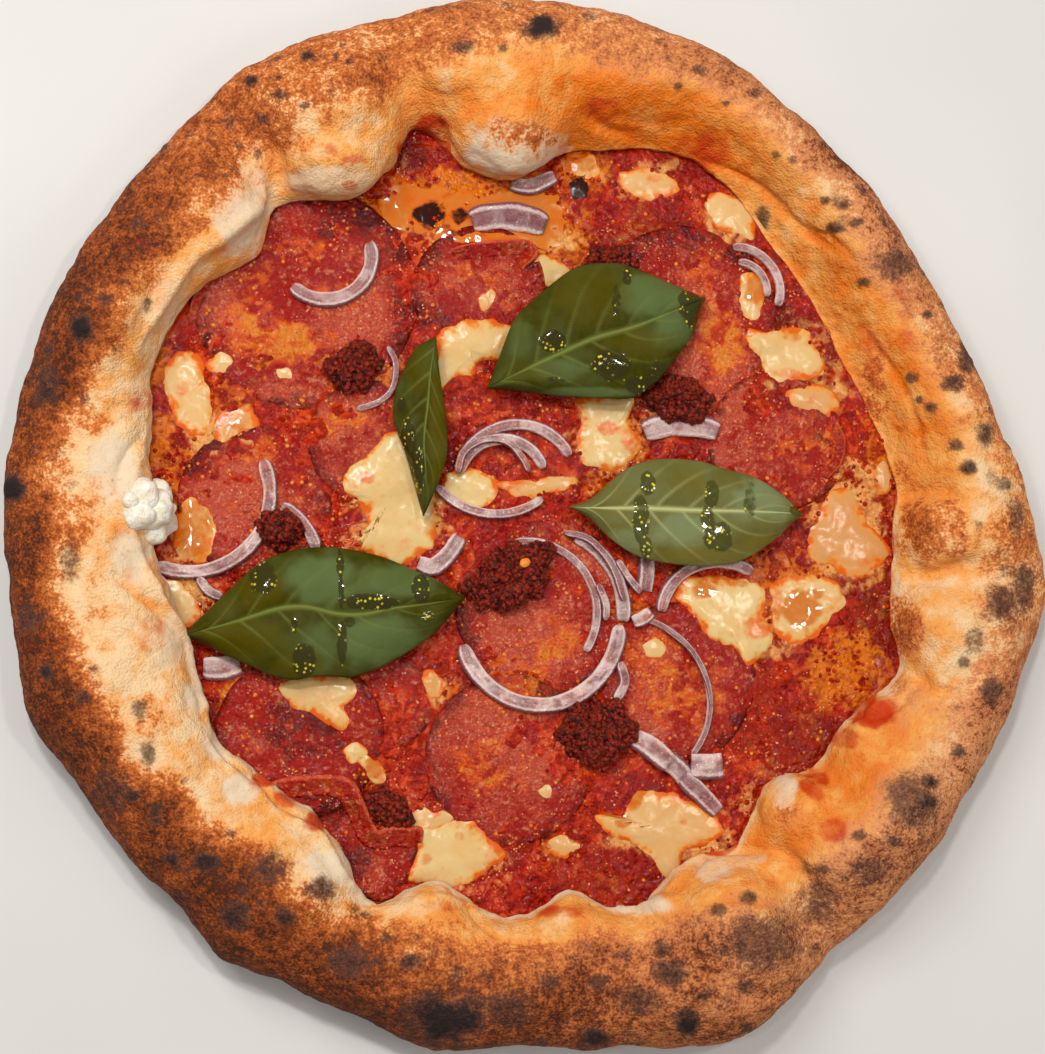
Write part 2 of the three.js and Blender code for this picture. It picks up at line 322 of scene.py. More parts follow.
def grid_faces(rows: int, columns: int, start: int = 0, wrap: bool = False, turned: bool = False) -> list:
    """Join a grid of corners by four-sided faces.

    Args:
        rows: how many rows of corners there are.
        columns: how many corners a row has.
        start: the number of the first corner.
        wrap: whether the last column is joined to the first.
        turned: whether the faces look the other way.

    Returns:
        The corner numbers of each face.
    """
    last = columns if wrap else columns - 1
    j, i = np.meshgrid(np.arange(rows - 1), np.arange(last), indexing="ij")
    right = (i + 1) % columns
    corners = [j * columns + i, j * columns + right, (j + 1) * columns + right, (j + 1) * columns + i]
    faces = np.stack(corners, axis=-1).reshape(-1, 4) + start
    return (faces[:, ::-1] if turned else faces).tolist()


def tube_faces(rows: int, columns: int) -> list:
    """Join a grid closed round its columns, with a pole at each end.

    Args:
        rows: how many rings of corners there are.
        columns: how many corners a ring has.

    Returns:
        The corner numbers of each face; the poles are the two corners after the grid's.
    """
    ring, last = np.arange(columns), (rows - 1) * columns
    ahead = (ring + 1) % columns
    first_pole, last_pole = np.full_like(ring, rows * columns), np.full_like(ring, rows * columns + 1)
    start = np.stack([ahead, ring, first_pole], axis=-1)
    end = np.stack([last + ring, last + ahead, last_pole], axis=-1)
    return grid_faces(rows, columns, wrap=True) + start.tolist() + end.tolist()


def border(rows: int, columns: int) -> np.ndarray:
    """Return the corner numbers round the edge of a grid, in order."""
    number = np.arange(rows * columns).reshape(rows, columns)
    return np.concatenate([number[0, :-1], number[:-1, -1], number[-1, :0:-1], number[:0:-1, 0]])


def disc_grid(count: int) -> tuple[np.ndarray, np.ndarray]:
    """Spread a square grid evenly over a disc.

    Args:
        count: corners along one side of the grid.

    Returns:
        Each corner's share of the radius and its angle in degrees.
    """
    a, b = np.meshgrid(np.linspace(-1, 1, count), np.linspace(-1, 1, count), indexing="xy")
    wide = np.abs(a) > np.abs(b)
    safe_a, safe_b = np.where(a == 0, 1e-12, a), np.where(b == 0, 1e-12, b)
    angle = np.where(wide, np.pi / 4 * b / safe_a, np.pi / 2 - np.pi / 4 * a / safe_b)
    signed = np.where(wide, a, b)
    angle = np.where(signed < 0, angle + np.pi, angle)
    return np.abs(signed), np.degrees(angle) % 360


def slab_piece(name: str, top: np.ndarray, bottom: np.ndarray, marks: dict[str, np.ndarray],
               finish: bpy.types.Material) -> bpy.types.Object:
    """Close a top and a bottom grid of the same size into one solid sheet.

    Args:
        name: the piece's name.
        top: the upper corners, in rows and columns.
        bottom: the lower corners.
        marks: values painted on the upper corners, which the lower ones repeat.
        finish: its material.

    Returns:
        The new object.
    """
    rows, columns = top.shape[:2]
    size = rows * columns
    loop = border(rows, columns)
    ahead = np.roll(loop, -1)
    walls = np.stack([loop, loop + size, ahead + size, ahead], axis=-1).tolist()
    faces = grid_faces(rows, columns) + grid_faces(rows, columns, size, turned=True) + walls
    points = np.vstack([top.reshape(-1, 3), bottom.reshape(-1, 3)])
    painted = {label: np.concatenate([mask.ravel()] * 2) for label, mask in marks.items()}
    return mesh_piece(name, points, faces, painted, finish)


class Bed:
    """The height of what has been laid so far, on square cells."""

    def __init__(self, reach: float = 130.0, step: float = 0.8) -> None:
        """Start with an empty square."""
        self.reach, self.step = reach, step
        count = int(round(2 * reach / step)) + 1
        self.across = np.linspace(-reach, reach, count)
        self.x, self.y = np.meshgrid(self.across, self.across, indexing="xy")
        self.top = np.zeros_like(self.x)
        self.kind = np.full(self.x.shape, "", dtype=object)
        self.layer = ""

    def at(self, x: np.ndarray, y: np.ndarray, field: np.ndarray | None = None) -> np.ndarray:
        """Look the height up between the cells.

        Args:
            x: the places' first numbers.
            y: their second numbers.
            field: another field on the same cells, which is looked up in its place.

        Returns:
            One value for each place.
        """
        field = self.top if field is None else field
        count = len(self.across)
        u = np.clip((np.asarray(x) + self.reach) / self.step, 0, count - 1.001)
        v = np.clip((np.asarray(y) + self.reach) / self.step, 0, count - 1.001)
        i, j = u.astype(int), v.astype(int)
        u, v = u - i, v - j
        return (field[j, i] * (1 - u) * (1 - v) + field[j, i + 1] * u * (1 - v)
                + field[j + 1, i] * (1 - u) * v + field[j + 1, i + 1] * u * v)

    def softened(self, radius: float, field: np.ndarray | None = None) -> np.ndarray:
        """Smooth the heights.

        Args:
            radius: how far the smoothing reaches.
            field: another field on the same cells, which is smoothed in their place.

        Returns:
            The smoothed field.
        """
        field = self.top if field is None else field
        half = max(1, int(round(radius / self.step / 1.7)))
        for _ in range(3):
            for axis in (0, 1):
                padded = np.concatenate([np.repeat(field.take([0], axis), half + 1, axis), field,
                                         np.repeat(field.take([-1], axis), half, axis)], axis)
                sums = np.cumsum(padded, axis)
                size = field.shape[axis]
                field = (sums.take(range(2 * half + 1, 2 * half + 1 + size), axis)
                         - sums.take(range(size), axis)) / (2 * half + 1)
        return field

    def lay(self, grid: np.ndarray) -> None:
        """Raise the cells to a surface.

        Args:
            grid: the surface's corners, in rows and columns.
        """
        wide = np.empty((grid.shape[0] * 2 - 1, grid.shape[1], 3))
        wide[::2], wide[1::2] = grid, (grid[1:] + grid[:-1]) / 2
        fine = np.empty((wide.shape[0], wide.shape[1] * 2 - 1, 3))
        fine[:, ::2], fine[:, 1::2] = wide, (wide[:, 1:] + wide[:, :-1]) / 2
        self.lay_points(fine.reshape(-1, 3))

    def lay_points(self, points: np.ndarray) -> None:
        """Raise the cells under single points.

        Args:
            points: the points, one in each row.
        """
        i = np.clip(np.rint((points[:, 0] + self.reach) / self.step).astype(int), 0, len(self.across) - 1)
        j = np.clip(np.rint((points[:, 1] + self.reach) / self.step).astype(int), 0, len(self.across) - 1)
        before = self.top.copy()
        np.maximum.at(self.top, (j, i), points[:, 2])
        self.kind[self.top > before + 0.01] = self.layer

    def surface(self, name: str, layers: Sequence[str], reach: float) -> bpy.types.Object:
        """Make a sheet of the heights, marked open where one of the layers lies on top.

        Args:
            name: the sheet's name.
            layers: the layers that count as open.
            reach: how far from the middle the sheet is open.

        Returns:
            The sheet, which only carries scattered things and isn't part of the pizza.
        """
        points = np.stack([self.x, self.y, self.softened(0.8)], axis=-1)
        inside = np.hypot(self.x, self.y) < reach
        carried = np.isin(self.kind.astype(str), list(layers)) & inside
        crowd = soft_step(Ripple(len(name)).flat(self.x, self.y, 9.0, 3), -0.25, 0.6)
        return mesh_piece(name, points, grid_faces(*self.x.shape), {"open": carried * crowd})


def spots_mask(places: np.ndarray, spots: Sequence[tuple], ripple: Ripple, rough: float = 0.3,
               pixels: np.ndarray | None = None, fade: tuple[float, float] = (0.55, 1.15)) -> np.ndarray:
    """Paint soft uneven spots given in pixels.

    Args:
        places: points of the surface, with three numbers in the last axis.
        spots: for each spot its pixel, its radius across and down in pixels, and its strength.
        ripple: the noise that makes the spots' edges uneven.
        rough: how uneven they are.
        pixels: the pixel of each place, if it is known.
        fade: the shares of a spot's radius between which it fades.

    Returns:
        The strongest spot at each place, 0 to 1.
    """
    seen = CAMERA.project(places) if pixels is None else pixels
    wave = ripple.layers(places, 5.0, 3) * rough
    mask = np.zeros(places.shape[:-1])
    for px, py, wide, tall, strength in spots:
        away = np.hypot((seen[..., 0] - px) / wide, (seen[..., 1] - py) / tall)
        mask = np.maximum(mask, strength * (1 - soft_step(away + wave, *fade)))
    return mask


# ---------------------------------------------------------------------------------------------------------
# Shader wiring
# ---------------------------------------------------------------------------------------------------------


class Wiring:
    """Adds nodes to one tree and joins them."""

    def __init__(self, tree: bpy.types.NodeTree) -> None:
        """Keep the tree."""
        self.tree = tree

    def feed(self, socket: bpy.types.NodeSocket, value: Any) -> None:
        """Set a socket to a value, or join another socket to it.

        Args:
            socket: the input to fill.
            value: a plain value or the output of another node.
        """
        if isinstance(value, bpy.types.NodeSocket):
            self.tree.links.new(value, socket)
        else:
            socket.default_value = value

    def node(self, kind: str, values: dict | None = None, **settings: Any) -> bpy.types.Node:
        """Add a node.

        Args:
            kind: the node's type.
            values: what its inputs are fed, by their name or number.
            **settings: its own settings.

        Returns:
            The new node.
        """
        made = self.tree.nodes.new(kind)
        for key, value in settings.items():
            setattr(made, key, value)
        for key, value in (values or {}).items():
            self.feed(made.inputs[key], value)
        return made

    def math(self, how: str, first: Any, second: Any = 0.0, clamp: bool = False) -> bpy.types.NodeSocket:
        """Join two values by one sum."""
        return self.node("ShaderNodeMath", {0: first, 1: second}, operation=how, use_clamp=clamp).outputs[0]

    def plus(self, first: Any, second: Any, clamp: bool = False) -> bpy.types.NodeSocket:
        """Add two values."""
        return self.math("ADD", first, second, clamp)

    def less(self, first: Any, second: Any) -> bpy.types.NodeSocket:
        """Take the second value from the first."""
        return self.math("SUBTRACT", first, second)

    def times(self, first: Any, second: Any) -> bpy.types.NodeSocket:
        """Multiply two values."""
        return self.math("MULTIPLY", first, second)

    def sway(self, mask: Any, strength: float) -> bpy.types.NodeSocket:
        """Return how far a mask is off its middle, times a strength."""
        return self.times(self.less(mask, 0.5), strength)

    def mix(self, share: Any, first: Any, second: Any) -> bpy.types.NodeSocket:
        """Mix two colours."""
        return self.node("ShaderNodeMix", {0: share, 6: first, 7: second}, data_type="RGBA").outputs[2]

    def cover(self, under: Any, mask: Any, strength: float, over: Any) -> bpy.types.NodeSocket:
        """Lay a colour over another where a mask is, up to a strength."""
        return self.mix(self.times(mask, strength), under, over)

    def mark(self, name: str) -> bpy.types.NodeSocket:
        """Read a value painted on the mesh."""
        return self.node("ShaderNodeAttribute", attribute_name=name, attribute_type="GEOMETRY").outputs["Fac"]

    def span(self, value: Any, low: Any, high: Any, to_low: float = 0.0, to_high: float = 1.0
             ) -> bpy.types.NodeSocket:
        """Map a stretch of values onto another, smoothly and held at its ends.

        Args:
            value: what is mapped.
            low: the value that becomes to_low.
            high: the value that becomes to_high.
            to_low: the first end of the result.
            to_high: its other end.

        Returns:
            The mapped value.
        """
        made = self.node("ShaderNodeMapRange", {"Value": value, "From Min": low, "From Max": high,
                                                "To Min": to_low, "To Max": to_high})
        made.interpolation_type = "SMOOTHSTEP"
        return made.outputs[0]

    def ramp(self, value: Any, stops: Sequence[tuple[float, Colour]]) -> bpy.types.NodeSocket:
        """Look a colour up along a row of stops.

        Args:
            value: where to look, 0 to 1.
            stops: each stop's place and colour.

        Returns:
            The colour.
        """
        made = self.node("ShaderNodeValToRGB", {0: value})
        row = made.color_ramp.elements
        while len(row) < len(stops):
            row.new(0.5)
        for element, (at, colour) in zip(row, stops):
            element.position, element.color = at, colour
        return made.outputs[0]

    def group(self, tree: bpy.types.NodeTree, **values: Any) -> bpy.types.NodeSocket:
        """Place a node group.

        Args:
            tree: the group.
            **values: what its inputs are fed.

        Returns:
            Its first output.
        """
        made = self.node("ShaderNodeGroup", node_tree=tree)
        for key, value in values.items():
            self.feed(made.inputs[key], value)
        return made.outputs[0]

    def bump(self, height: Any, depth: float, strength: float) -> bpy.types.NodeSocket:
        """Turn a height of 0 to 1 into a normal; depth is in millimetres."""
        return self.node("ShaderNodeBump", {"Strength": strength, "Distance": depth * MM, "Height": height}
                         ).outputs[0]

    def dress(self, shader: bpy.types.Node, colour: Any, roughness: Any, shine: float = 0.5,
              normal: Any = None) -> None:
        """Give the shader its colour and the way it mirrors and is bumped.

        Args:
            shader: the finish's glossy shader.
            colour: its base colour.
            roughness: how blurred its reflections are.
            shine: how strong they are; 0.5 is usual for food.
            normal: its bumps, if it has any.
        """
        self.feed(shader.inputs["Base Color"], colour)
        self.feed(shader.inputs["Roughness"], roughness)
        self.feed(shader.inputs["Specular IOR Level"], shine)
        if normal is not None:
            self.feed(shader.inputs["Normal"], normal)


class Effects:
    """The node groups that several finishes share."""

    def __init__(self) -> None:
        """Build each group once."""
        self.mottle = self._mottle()
        self.speckle = self._speckle()
        self.grain = self._grain()

    @staticmethod
    def _open(name: str, inputs: dict[str, float], output: str) -> tuple[Wiring, dict, bpy.types.NodeSocket]:
        """Start a group.

        Args:
            name: the group's name.
            inputs: its number inputs and their usual values.
            output: the name of its one output.

        Returns:
            The wiring of its tree, its inputs by name, and the socket that its result goes to.
        """
        tree = bpy.data.node_groups.new(name, "ShaderNodeTree")
        for label, value in inputs.items():
            socket = tree.interface.new_socket(label, in_out="INPUT", socket_type="NodeSocketFloat")
            socket.default_value = value
        tree.interface.new_socket(output, in_out="OUTPUT", socket_type="NodeSocketFloat")
        wires = Wiring(tree)
        source, sink = wires.node("NodeGroupInput"), wires.node("NodeGroupOutput")
        return wires, {label: source.outputs[label] for label in inputs}, sink.inputs[output]

    @staticmethod
    def _place(wires: Wiring, shift: bpy.types.NodeSocket) -> bpy.types.NodeSocket:
        """Return the place on the object, moved by a shift so that no two patterns match."""
        place = wires.node("ShaderNodeTexCoord").outputs["Object"]
        both = wires.node("ShaderNodeCombineXYZ", {0: shift, 1: shift}).outputs[0]
        return wires.node("ShaderNodeVectorMath", {0: place, 1: both}, operation="ADD").outputs[0]

    def _mottle(self) -> bpy.types.NodeTree:
        """Cloudy patches: a size in millimetres and the two ends that the noise is stretched between."""
        wires, value, out = self._open("Mottle", {"Size": 6.0, "Layers": 3.0, "Twist": 0.0, "Low": 0.35,
                                                  "High": 0.65, "Shift": 0.0}, "Mask")
        place = self._place(wires, value["Shift"])
        noise = wires.node("ShaderNodeTexNoise", {"Vector": place,
                                                  "Scale": wires.math("DIVIDE", 1 / MM, value["Size"]),
                                                  "Detail": value["Layers"], "Distortion": value["Twist"]})
        wires.feed(out, wires.span(noise.outputs[0], value["Low"], value["High"]))
        return wires.tree

    def _speckle(self) -> bpy.types.NodeTree:
        """Separate dots: a cell's size in millimetres, a dot's share of it, the share of cells with one."""
        wires, value, out = self._open("Speckle", {"Size": 1.5, "Dot": 0.35, "Share": 0.4, "Shift": 0.0},
                                       "Mask")
        place = self._place(wires, value["Shift"])
        cells = wires.node("ShaderNodeTexVoronoi", {"Vector": place,
                                                    "Scale": wires.math("DIVIDE", 1 / MM, value["Size"])})
        near = wires.span(cells.outputs["Distance"], value["Dot"], wires.times(value["Dot"], 0.55))
        lucky = wires.node("ShaderNodeSeparateColor", {0: cells.outputs["Color"]}).outputs[0]
        chosen = wires.math("LESS_THAN", lucky, value["Share"])
        wires.feed(out, wires.times(near, chosen))
        return wires.tree

    def _grain(self) -> bpy.types.NodeTree:
        """An uneven height: a size in millimetres, with finer grain mixed in."""
        wires, value, out = self._open("Grain", {"Size": 2.0, "Fine": 0.4}, "Height")
        place = wires.node("ShaderNodeTexCoord").outputs["Object"]
        wide = wires.node("ShaderNodeTexNoise", {"Vector": place, "Detail": 1.0,
                                                 "Scale": wires.math("DIVIDE", 1 / MM, value["Size"])})
        fine = wires.node("ShaderNodeTexNoise", {"Vector": place, "Detail": 0.0,
                                                 "Scale": wires.math("DIVIDE", 3.5 / MM, value["Size"])})
        wires.feed(out, wires.plus(wide.outputs[0], wires.times(fine.outputs[0], value["Fine"])))
        return wires.tree


class Finish:
    """What every finish shares: a material with one glossy shader."""

    name = "finish"
    display: Colour = (0.5, 0.5, 0.5, 1.0)

    def make(self, effects: Effects) -> bpy.types.Material:
        """Build the material.

        Args:
            effects: the shared node groups.

        Returns:
            The new material.
        """
        material = bpy.data.materials.new(self.name)
        material.use_nodes = True
        material.diffuse_color = self.display
        material.node_tree.nodes.clear()
        wires = Wiring(material.node_tree)
        shader = wires.node("ShaderNodeBsdfPrincipled")
        wires.node("ShaderNodeOutputMaterial", {0: shader.outputs[0]})
        self.wire(wires, effects, shader)
        return material

    def wire(self, wires: Wiring, effects: Effects, shader: bpy.types.Node) -> None:
        """Colour and shape the finish; each finish has its own."""
        raise NotImplementedError


@dataclass(frozen=True)
class BakedDough(Finish):
    """Wood-oven crust: pale crumb, oily gold, leopard-spotted brown and char."""

    name = "baked_dough"
    display = paint(200, 140, 90)
    cream: Colour = paint(228, 192, 146)
    gold: Colour = paint(226, 154, 78)
    orange: Colour = paint(218, 110, 22)
    raw: Colour = paint(218, 196, 166)
    straw: Colour = paint(238, 164, 88)
    toast: Colour = paint(200, 108, 46)
    brown: Colour = paint(142, 66, 25)
    dark: Colour = paint(70, 36, 22)
    tan: Colour = paint(216, 148, 100)
    dusk: Colour = paint(86, 56, 46)
    soot: Colour = paint(36, 31, 31)
    tomato: Colour = paint(188, 46, 8)

    def wire(self, wires: Wiring, effects: Effects, shader: bpy.types.Node) -> None:
        """Mix the marks painted on the crust with mottles from 0.5 to 20 mm."""
        wide = wires.group(effects.mottle, Size=22.0, Layers=3.0, Low=0.3, High=0.7)
        middle = wires.group(effects.mottle, Size=6.0, Layers=3.0, Low=0.3, High=0.7, Shift=0.3)
        small = wires.group(effects.mottle, Size=2.0, Layers=2.0, Low=0.3, High=0.7, Shift=0.7)
        fine = wires.group(effects.mottle, Size=0.75, Layers=1.0, Low=0.3, High=0.7, Shift=1.1)
        clouds = self.centred(wires, wide, middle, 0.5)
        crumbs = self.centred(wires, small, fine, 0.45)
        baked = wires.plus(wires.mark("brown"), wires.times(clouds, 0.3))
        baked = wires.plus(baked, wires.times(wires.times(crumbs, 0.52), wires.span(baked, 0.02, 0.4)),
                           clamp=True)
        golden = wires.plus(wires.mark("gold"), wires.times(clouds, 0.75))
        golden = wires.plus(golden, wires.times(crumbs, 0.12), clamp=True)
        colour = wires.ramp(golden, [(0.08, self.cream), (0.5, self.gold), (0.95, self.orange)])
        raw = wires.plus(wires.mark("raw"), wires.times(clouds, 0.5))
        colour = wires.mix(wires.span(raw, 0.2, 0.9), colour, self.raw)
        stops = [(0.1, self.straw), (0.34, self.toast), (0.66, self.brown), (0.98, self.dark)]
        crust = wires.ramp(baked, stops)
        tan = wires.times(wires.mark("tan"), wires.span(baked, 0.9, 0.4))
        crust = wires.cover(crust, tan, 0.85, self.tan)
        colour = wires.mix(wires.span(baked, 0.0, 0.4), colour, crust)
        red = wires.plus(wires.mark("stain"), wires.times(clouds, 0.7))
        colour = wires.cover(colour, wires.span(red, 0.15, 0.95), 0.92, self.tomato)
        flecks = wires.group(effects.speckle, Size=1.7, Dot=0.4, Share=0.3)
        flecks = wires.times(flecks, wires.span(wires.plus(baked, wires.times(clouds, 0.5)), 0.0, 0.3))
        colour = wires.cover(colour, flecks, 0.32, self.brown)
        char = wires.plus(wires.mark("char"), wires.times(crumbs, 0.3))
        colour = wires.cover(colour, wires.span(char, 0.02, 0.5), 0.72, self.dusk)
        colour = wires.cover(colour, wires.span(char, 0.3, 0.95), 0.95, self.soot)
        grain = wires.group(effects.grain, Size=2.2, Fine=0.6)
        grain = wires.times(grain, wires.span(raw, 0.2, 0.8, 1.0, 0.4))
        bumps = wires.bump(grain, 0.62, 0.9)
        wires.dress(shader, colour, wires.span(golden, 0.3, 0.9, 0.8, 0.5), 0.14, bumps)

    @staticmethod
    def centred(wires: Wiring, first: bpy.types.NodeSocket, second: bpy.types.NodeSocket, shift: float
                ) -> bpy.types.NodeSocket:
        """Average two masks and move the middle of their range to zero."""
        both = wires.times(wires.plus(first, second), 0.5)
        return wires.less(both, shift)


@dataclass(frozen=True)
class CookedSauce(Finish):
    """Wet tomato sauce with orange oil, dark reductions and thin melted cheese in it."""

    name = "cooked_sauce"
    display = paint(170, 36, 14)
    red: Colour = paint(166, 15, 3)
    bright: Colour = paint(204, 48, 3)
    deep: Colour = paint(88, 5, 2)
    oil: Colour = paint(204, 102, 6)
    cream: Colour = paint(216, 152, 82)
    scorch: Colour = paint(44, 18, 10)

    def wire(self, wires: Wiring, effects: Effects, shader: bpy.types.Node) -> None:
        """Mix the sauce's marks with mottles, and make its lumps shine."""
        wide = wires.group(effects.mottle, Size=11.0, Layers=3.0, Twist=0.8, Low=0.38, High=0.62)
        middle = wires.group(effects.mottle, Size=3.4, Layers=3.0, Twist=1.0, Low=0.36, High=0.64, Shift=0.4)
        fine = wires.group(effects.mottle, Size=1.0, Layers=2.0, Low=0.34, High=0.66, Shift=0.9)
        colour = wires.cover(self.red, wide, 0.8, self.bright)
        colour = wires.cover(colour, wires.span(middle, 0.9, 0.1), 0.6, self.deep)
        broken = wires.plus(wires.sway(middle, 0.6), wires.sway(fine, 0.22))
        deep = wires.span(wires.plus(wires.mark("deep"), broken), 0.1, 0.95)
        colour = wires.cover(colour, deep, 0.85, self.deep)
        oily = wires.span(wires.plus(wires.mark("oily"), broken), 0.1, 1.1)
        colour = wires.mix(oily, colour, self.oil)
        melt = wires.plus(wires.sway(wide, 0.4), wires.sway(middle, 0.35))
        milky = wires.span(wires.plus(wires.mark("cream"), melt), 0.2, 0.95)
        colour = wires.mix(milky, colour, self.cream)
        colour = wires.mix(wires.span(wires.plus(wires.mark("scorch"), broken), 0.4, 0.9), colour,
                           self.scorch)
        glow = wires.group(effects.mottle, Size=0.6, Layers=1.0, Low=0.56, High=0.74, Shift=1.7)
        colour = wires.cover(colour, glow, 0.3, self.oil)
        grain = wires.group(effects.grain, Size=2.1, Fine=0.16)
        bumps = wires.bump(grain, 1.7, 1.0)
        wires.dress(shader, colour, wires.span(middle, 0.0, 1.0, 0.05, 0.12), 0.32, bumps)


@dataclass(frozen=True)
class CuredSlice(Finish):
    """Salami from the oven: dusty pink-red meat, fat flecks, orange oil, a darker skin, painted highlight and
    shade.
    """

    name = "cured_slice"
    display = paint(176, 66, 56)
    meat: Colour = paint(150, 22, 7)
    pink: Colour = paint(176, 66, 44)
    fat: Colour = paint(220, 146, 100)
    oil: Colour = paint(204, 76, 4)
    amber: Colour = paint(208, 128, 26)
    skin: Colour = paint(76, 5, 2)
    lit: Colour = paint(206, 86, 54)

    def wire(self, wires: Wiring, effects: Effects, shader: bpy.types.Node) -> None:
        """Colour the meat from its grain, its oil and its distance to the skin; paint highlight and shade at
        edges and folds.
        """
        wide = wires.group(effects.mottle, Size=15.0, Layers=3.0, Twist=0.8, Low=0.38, High=0.62, Shift=2.0)
        middle = wires.group(effects.mottle, Size=5.0, Layers=3.0, Twist=1.0, Low=0.38, High=0.62, Shift=1.4)
        patch = wires.group(effects.mottle, Size=9.0, Layers=3.0, Twist=1.0, Low=0.5, High=0.68, Shift=3.1)
        fine = wires.group(effects.mottle, Size=0.8, Layers=1.0, Low=0.36, High=0.64, Shift=0.2)
        dusty = wires.plus(wires.times(wide, 0.5), wires.times(middle, 0.28))
        dusty = wires.plus(dusty, wires.times(fine, 0.22))
        dusty = wires.plus(dusty, wires.less(wires.mark("dusty"), 0.25))
        colour = wires.mix(wires.span(dusty, 0.15, 1.1), self.meat, self.pink)
        oily = wires.plus(wires.mark("oily"), wires.times(patch, 0.45))
        oily = wires.plus(oily, wires.sway(middle, 0.6))
        colour = wires.cover(colour, wires.span(oily, 0.2, 0.95), 0.85, self.oil)
        colour = wires.cover(colour, wires.span(oily, 0.75, 1.3), 0.7, self.amber)
        frost = wires.group(effects.mottle, Size=0.62, Layers=2.0, Low=0.54, High=0.7, Shift=0.8)
        frost = wires.times(frost, wires.span(dusty, -0.1, 0.9))
        colour = wires.cover(colour, frost, 0.45, self.fat)
        marbling = wires.group(effects.mottle, Size=1.9, Layers=2.0, Low=0.58, High=0.7, Shift=1.8)
        colour = wires.cover(colour, marbling, 0.34, self.fat)
        holes = wires.group(effects.mottle, Size=0.9, Layers=2.0, Low=0.46, High=0.32, Shift=2.6)
        colour = wires.cover(colour, holes, 0.3, self.skin)
        rim = wires.plus(wires.mark("rim"), wires.sway(middle, 0.2))
        colour = wires.cover(colour, wires.span(rim, 0.72, 0.97), 0.85, self.skin)
        # Painted highlight along the lit edges of the slices and the crests of the folds.
        colour = wires.cover(colour, wires.mark("lit"), 0.8, self.lit)
        # Spots painted darker on the slices, partly as painted shade, and painted shade on the slopes below
        # the folded edges.
        deep = wires.plus(wires.mark("deep"), wires.sway(middle, 0.5))
        colour = wires.cover(colour, wires.span(deep, 0.15, 0.95), 0.85, self.skin)
        grain = wires.group(effects.grain, Size=1.8, Fine=0.18)
        bumps = wires.bump(grain, 1.4, 1.0)
        wires.dress(shader, colour, wires.span(middle, 0.0, 1.0, 0.06, 0.15), 0.32, bumps)


@dataclass(frozen=True)
class MeltedCheese(Finish):
    """Mozzarella: pale cream that turns yellow and orange at its edge, with oil on top."""

    name = "melted_cheese"
    display = paint(240, 214, 150)
    cream: Colour = paint(214, 184, 124)
    butter: Colour = paint(216, 144, 52)
    orange: Colour = paint(212, 88, 8)
    oil: Colour = paint(194, 96, 3)
    peach: Colour = paint(198, 124, 62)
    burnt: Colour = paint(46, 12, 4)

    def wire(self, wires: Wiring, effects: Effects, shader: bpy.types.Node) -> None:
        """Colour the cheese from its distance to the edge and the marks on it."""
        wide = wires.group(effects.mottle, Size=9.0, Layers=2.0, Twist=0.5, Low=0.35, High=0.65, Shift=2.4)
        fine = wires.group(effects.mottle, Size=1.6, Layers=2.0, Low=0.35, High=0.65, Shift=3.0)
        middle = wires.group(effects.mottle, Size=4.0, Layers=3.0, Twist=0.8, Low=0.35, High=0.65, Shift=3.6)
        broken = wires.plus(wires.sway(middle, 0.3), wires.sway(fine, 0.14))
        rim = wires.plus(wires.mark("rim"), wires.plus(broken, wires.sway(wide, 0.5)))
        colour = wires.cover(self.cream, wide, 0.25, self.butter)
        colour = wires.mix(wires.mark("peach"), colour, self.peach)
        colour = wires.cover(colour, wires.span(rim, 0.36, 0.82), 0.85, self.butter)
        colour = wires.cover(colour, wires.span(rim, 0.64, 0.98), 0.95, self.orange)
        colour = wires.cover(colour, wires.span(wires.plus(wires.mark("stain"), broken), 0.1, 0.95), 0.85,
                             self.orange)
        colour = wires.cover(colour, wires.span(wires.plus(wires.mark("oil"), broken), 0.1, 0.95), 0.85,
                             self.oil)
        burn = wires.plus(wires.mark("burn"), wires.times(broken, 0.8))
        colour = wires.cover(colour, wires.span(burn, 0.02, 0.6), 0.7, self.orange)
        colour = wires.mix(wires.span(burn, 0.35, 0.9), colour, self.burnt)
        grain = wires.group(effects.grain, Size=3.0, Fine=0.14)
        bumps = wires.bump(grain, 0.2, 0.8)
        wires.dress(shader, colour, wires.span(wires.mark("oil"), 0.2, 0.8, 0.24, 0.07), 0.36, bumps)


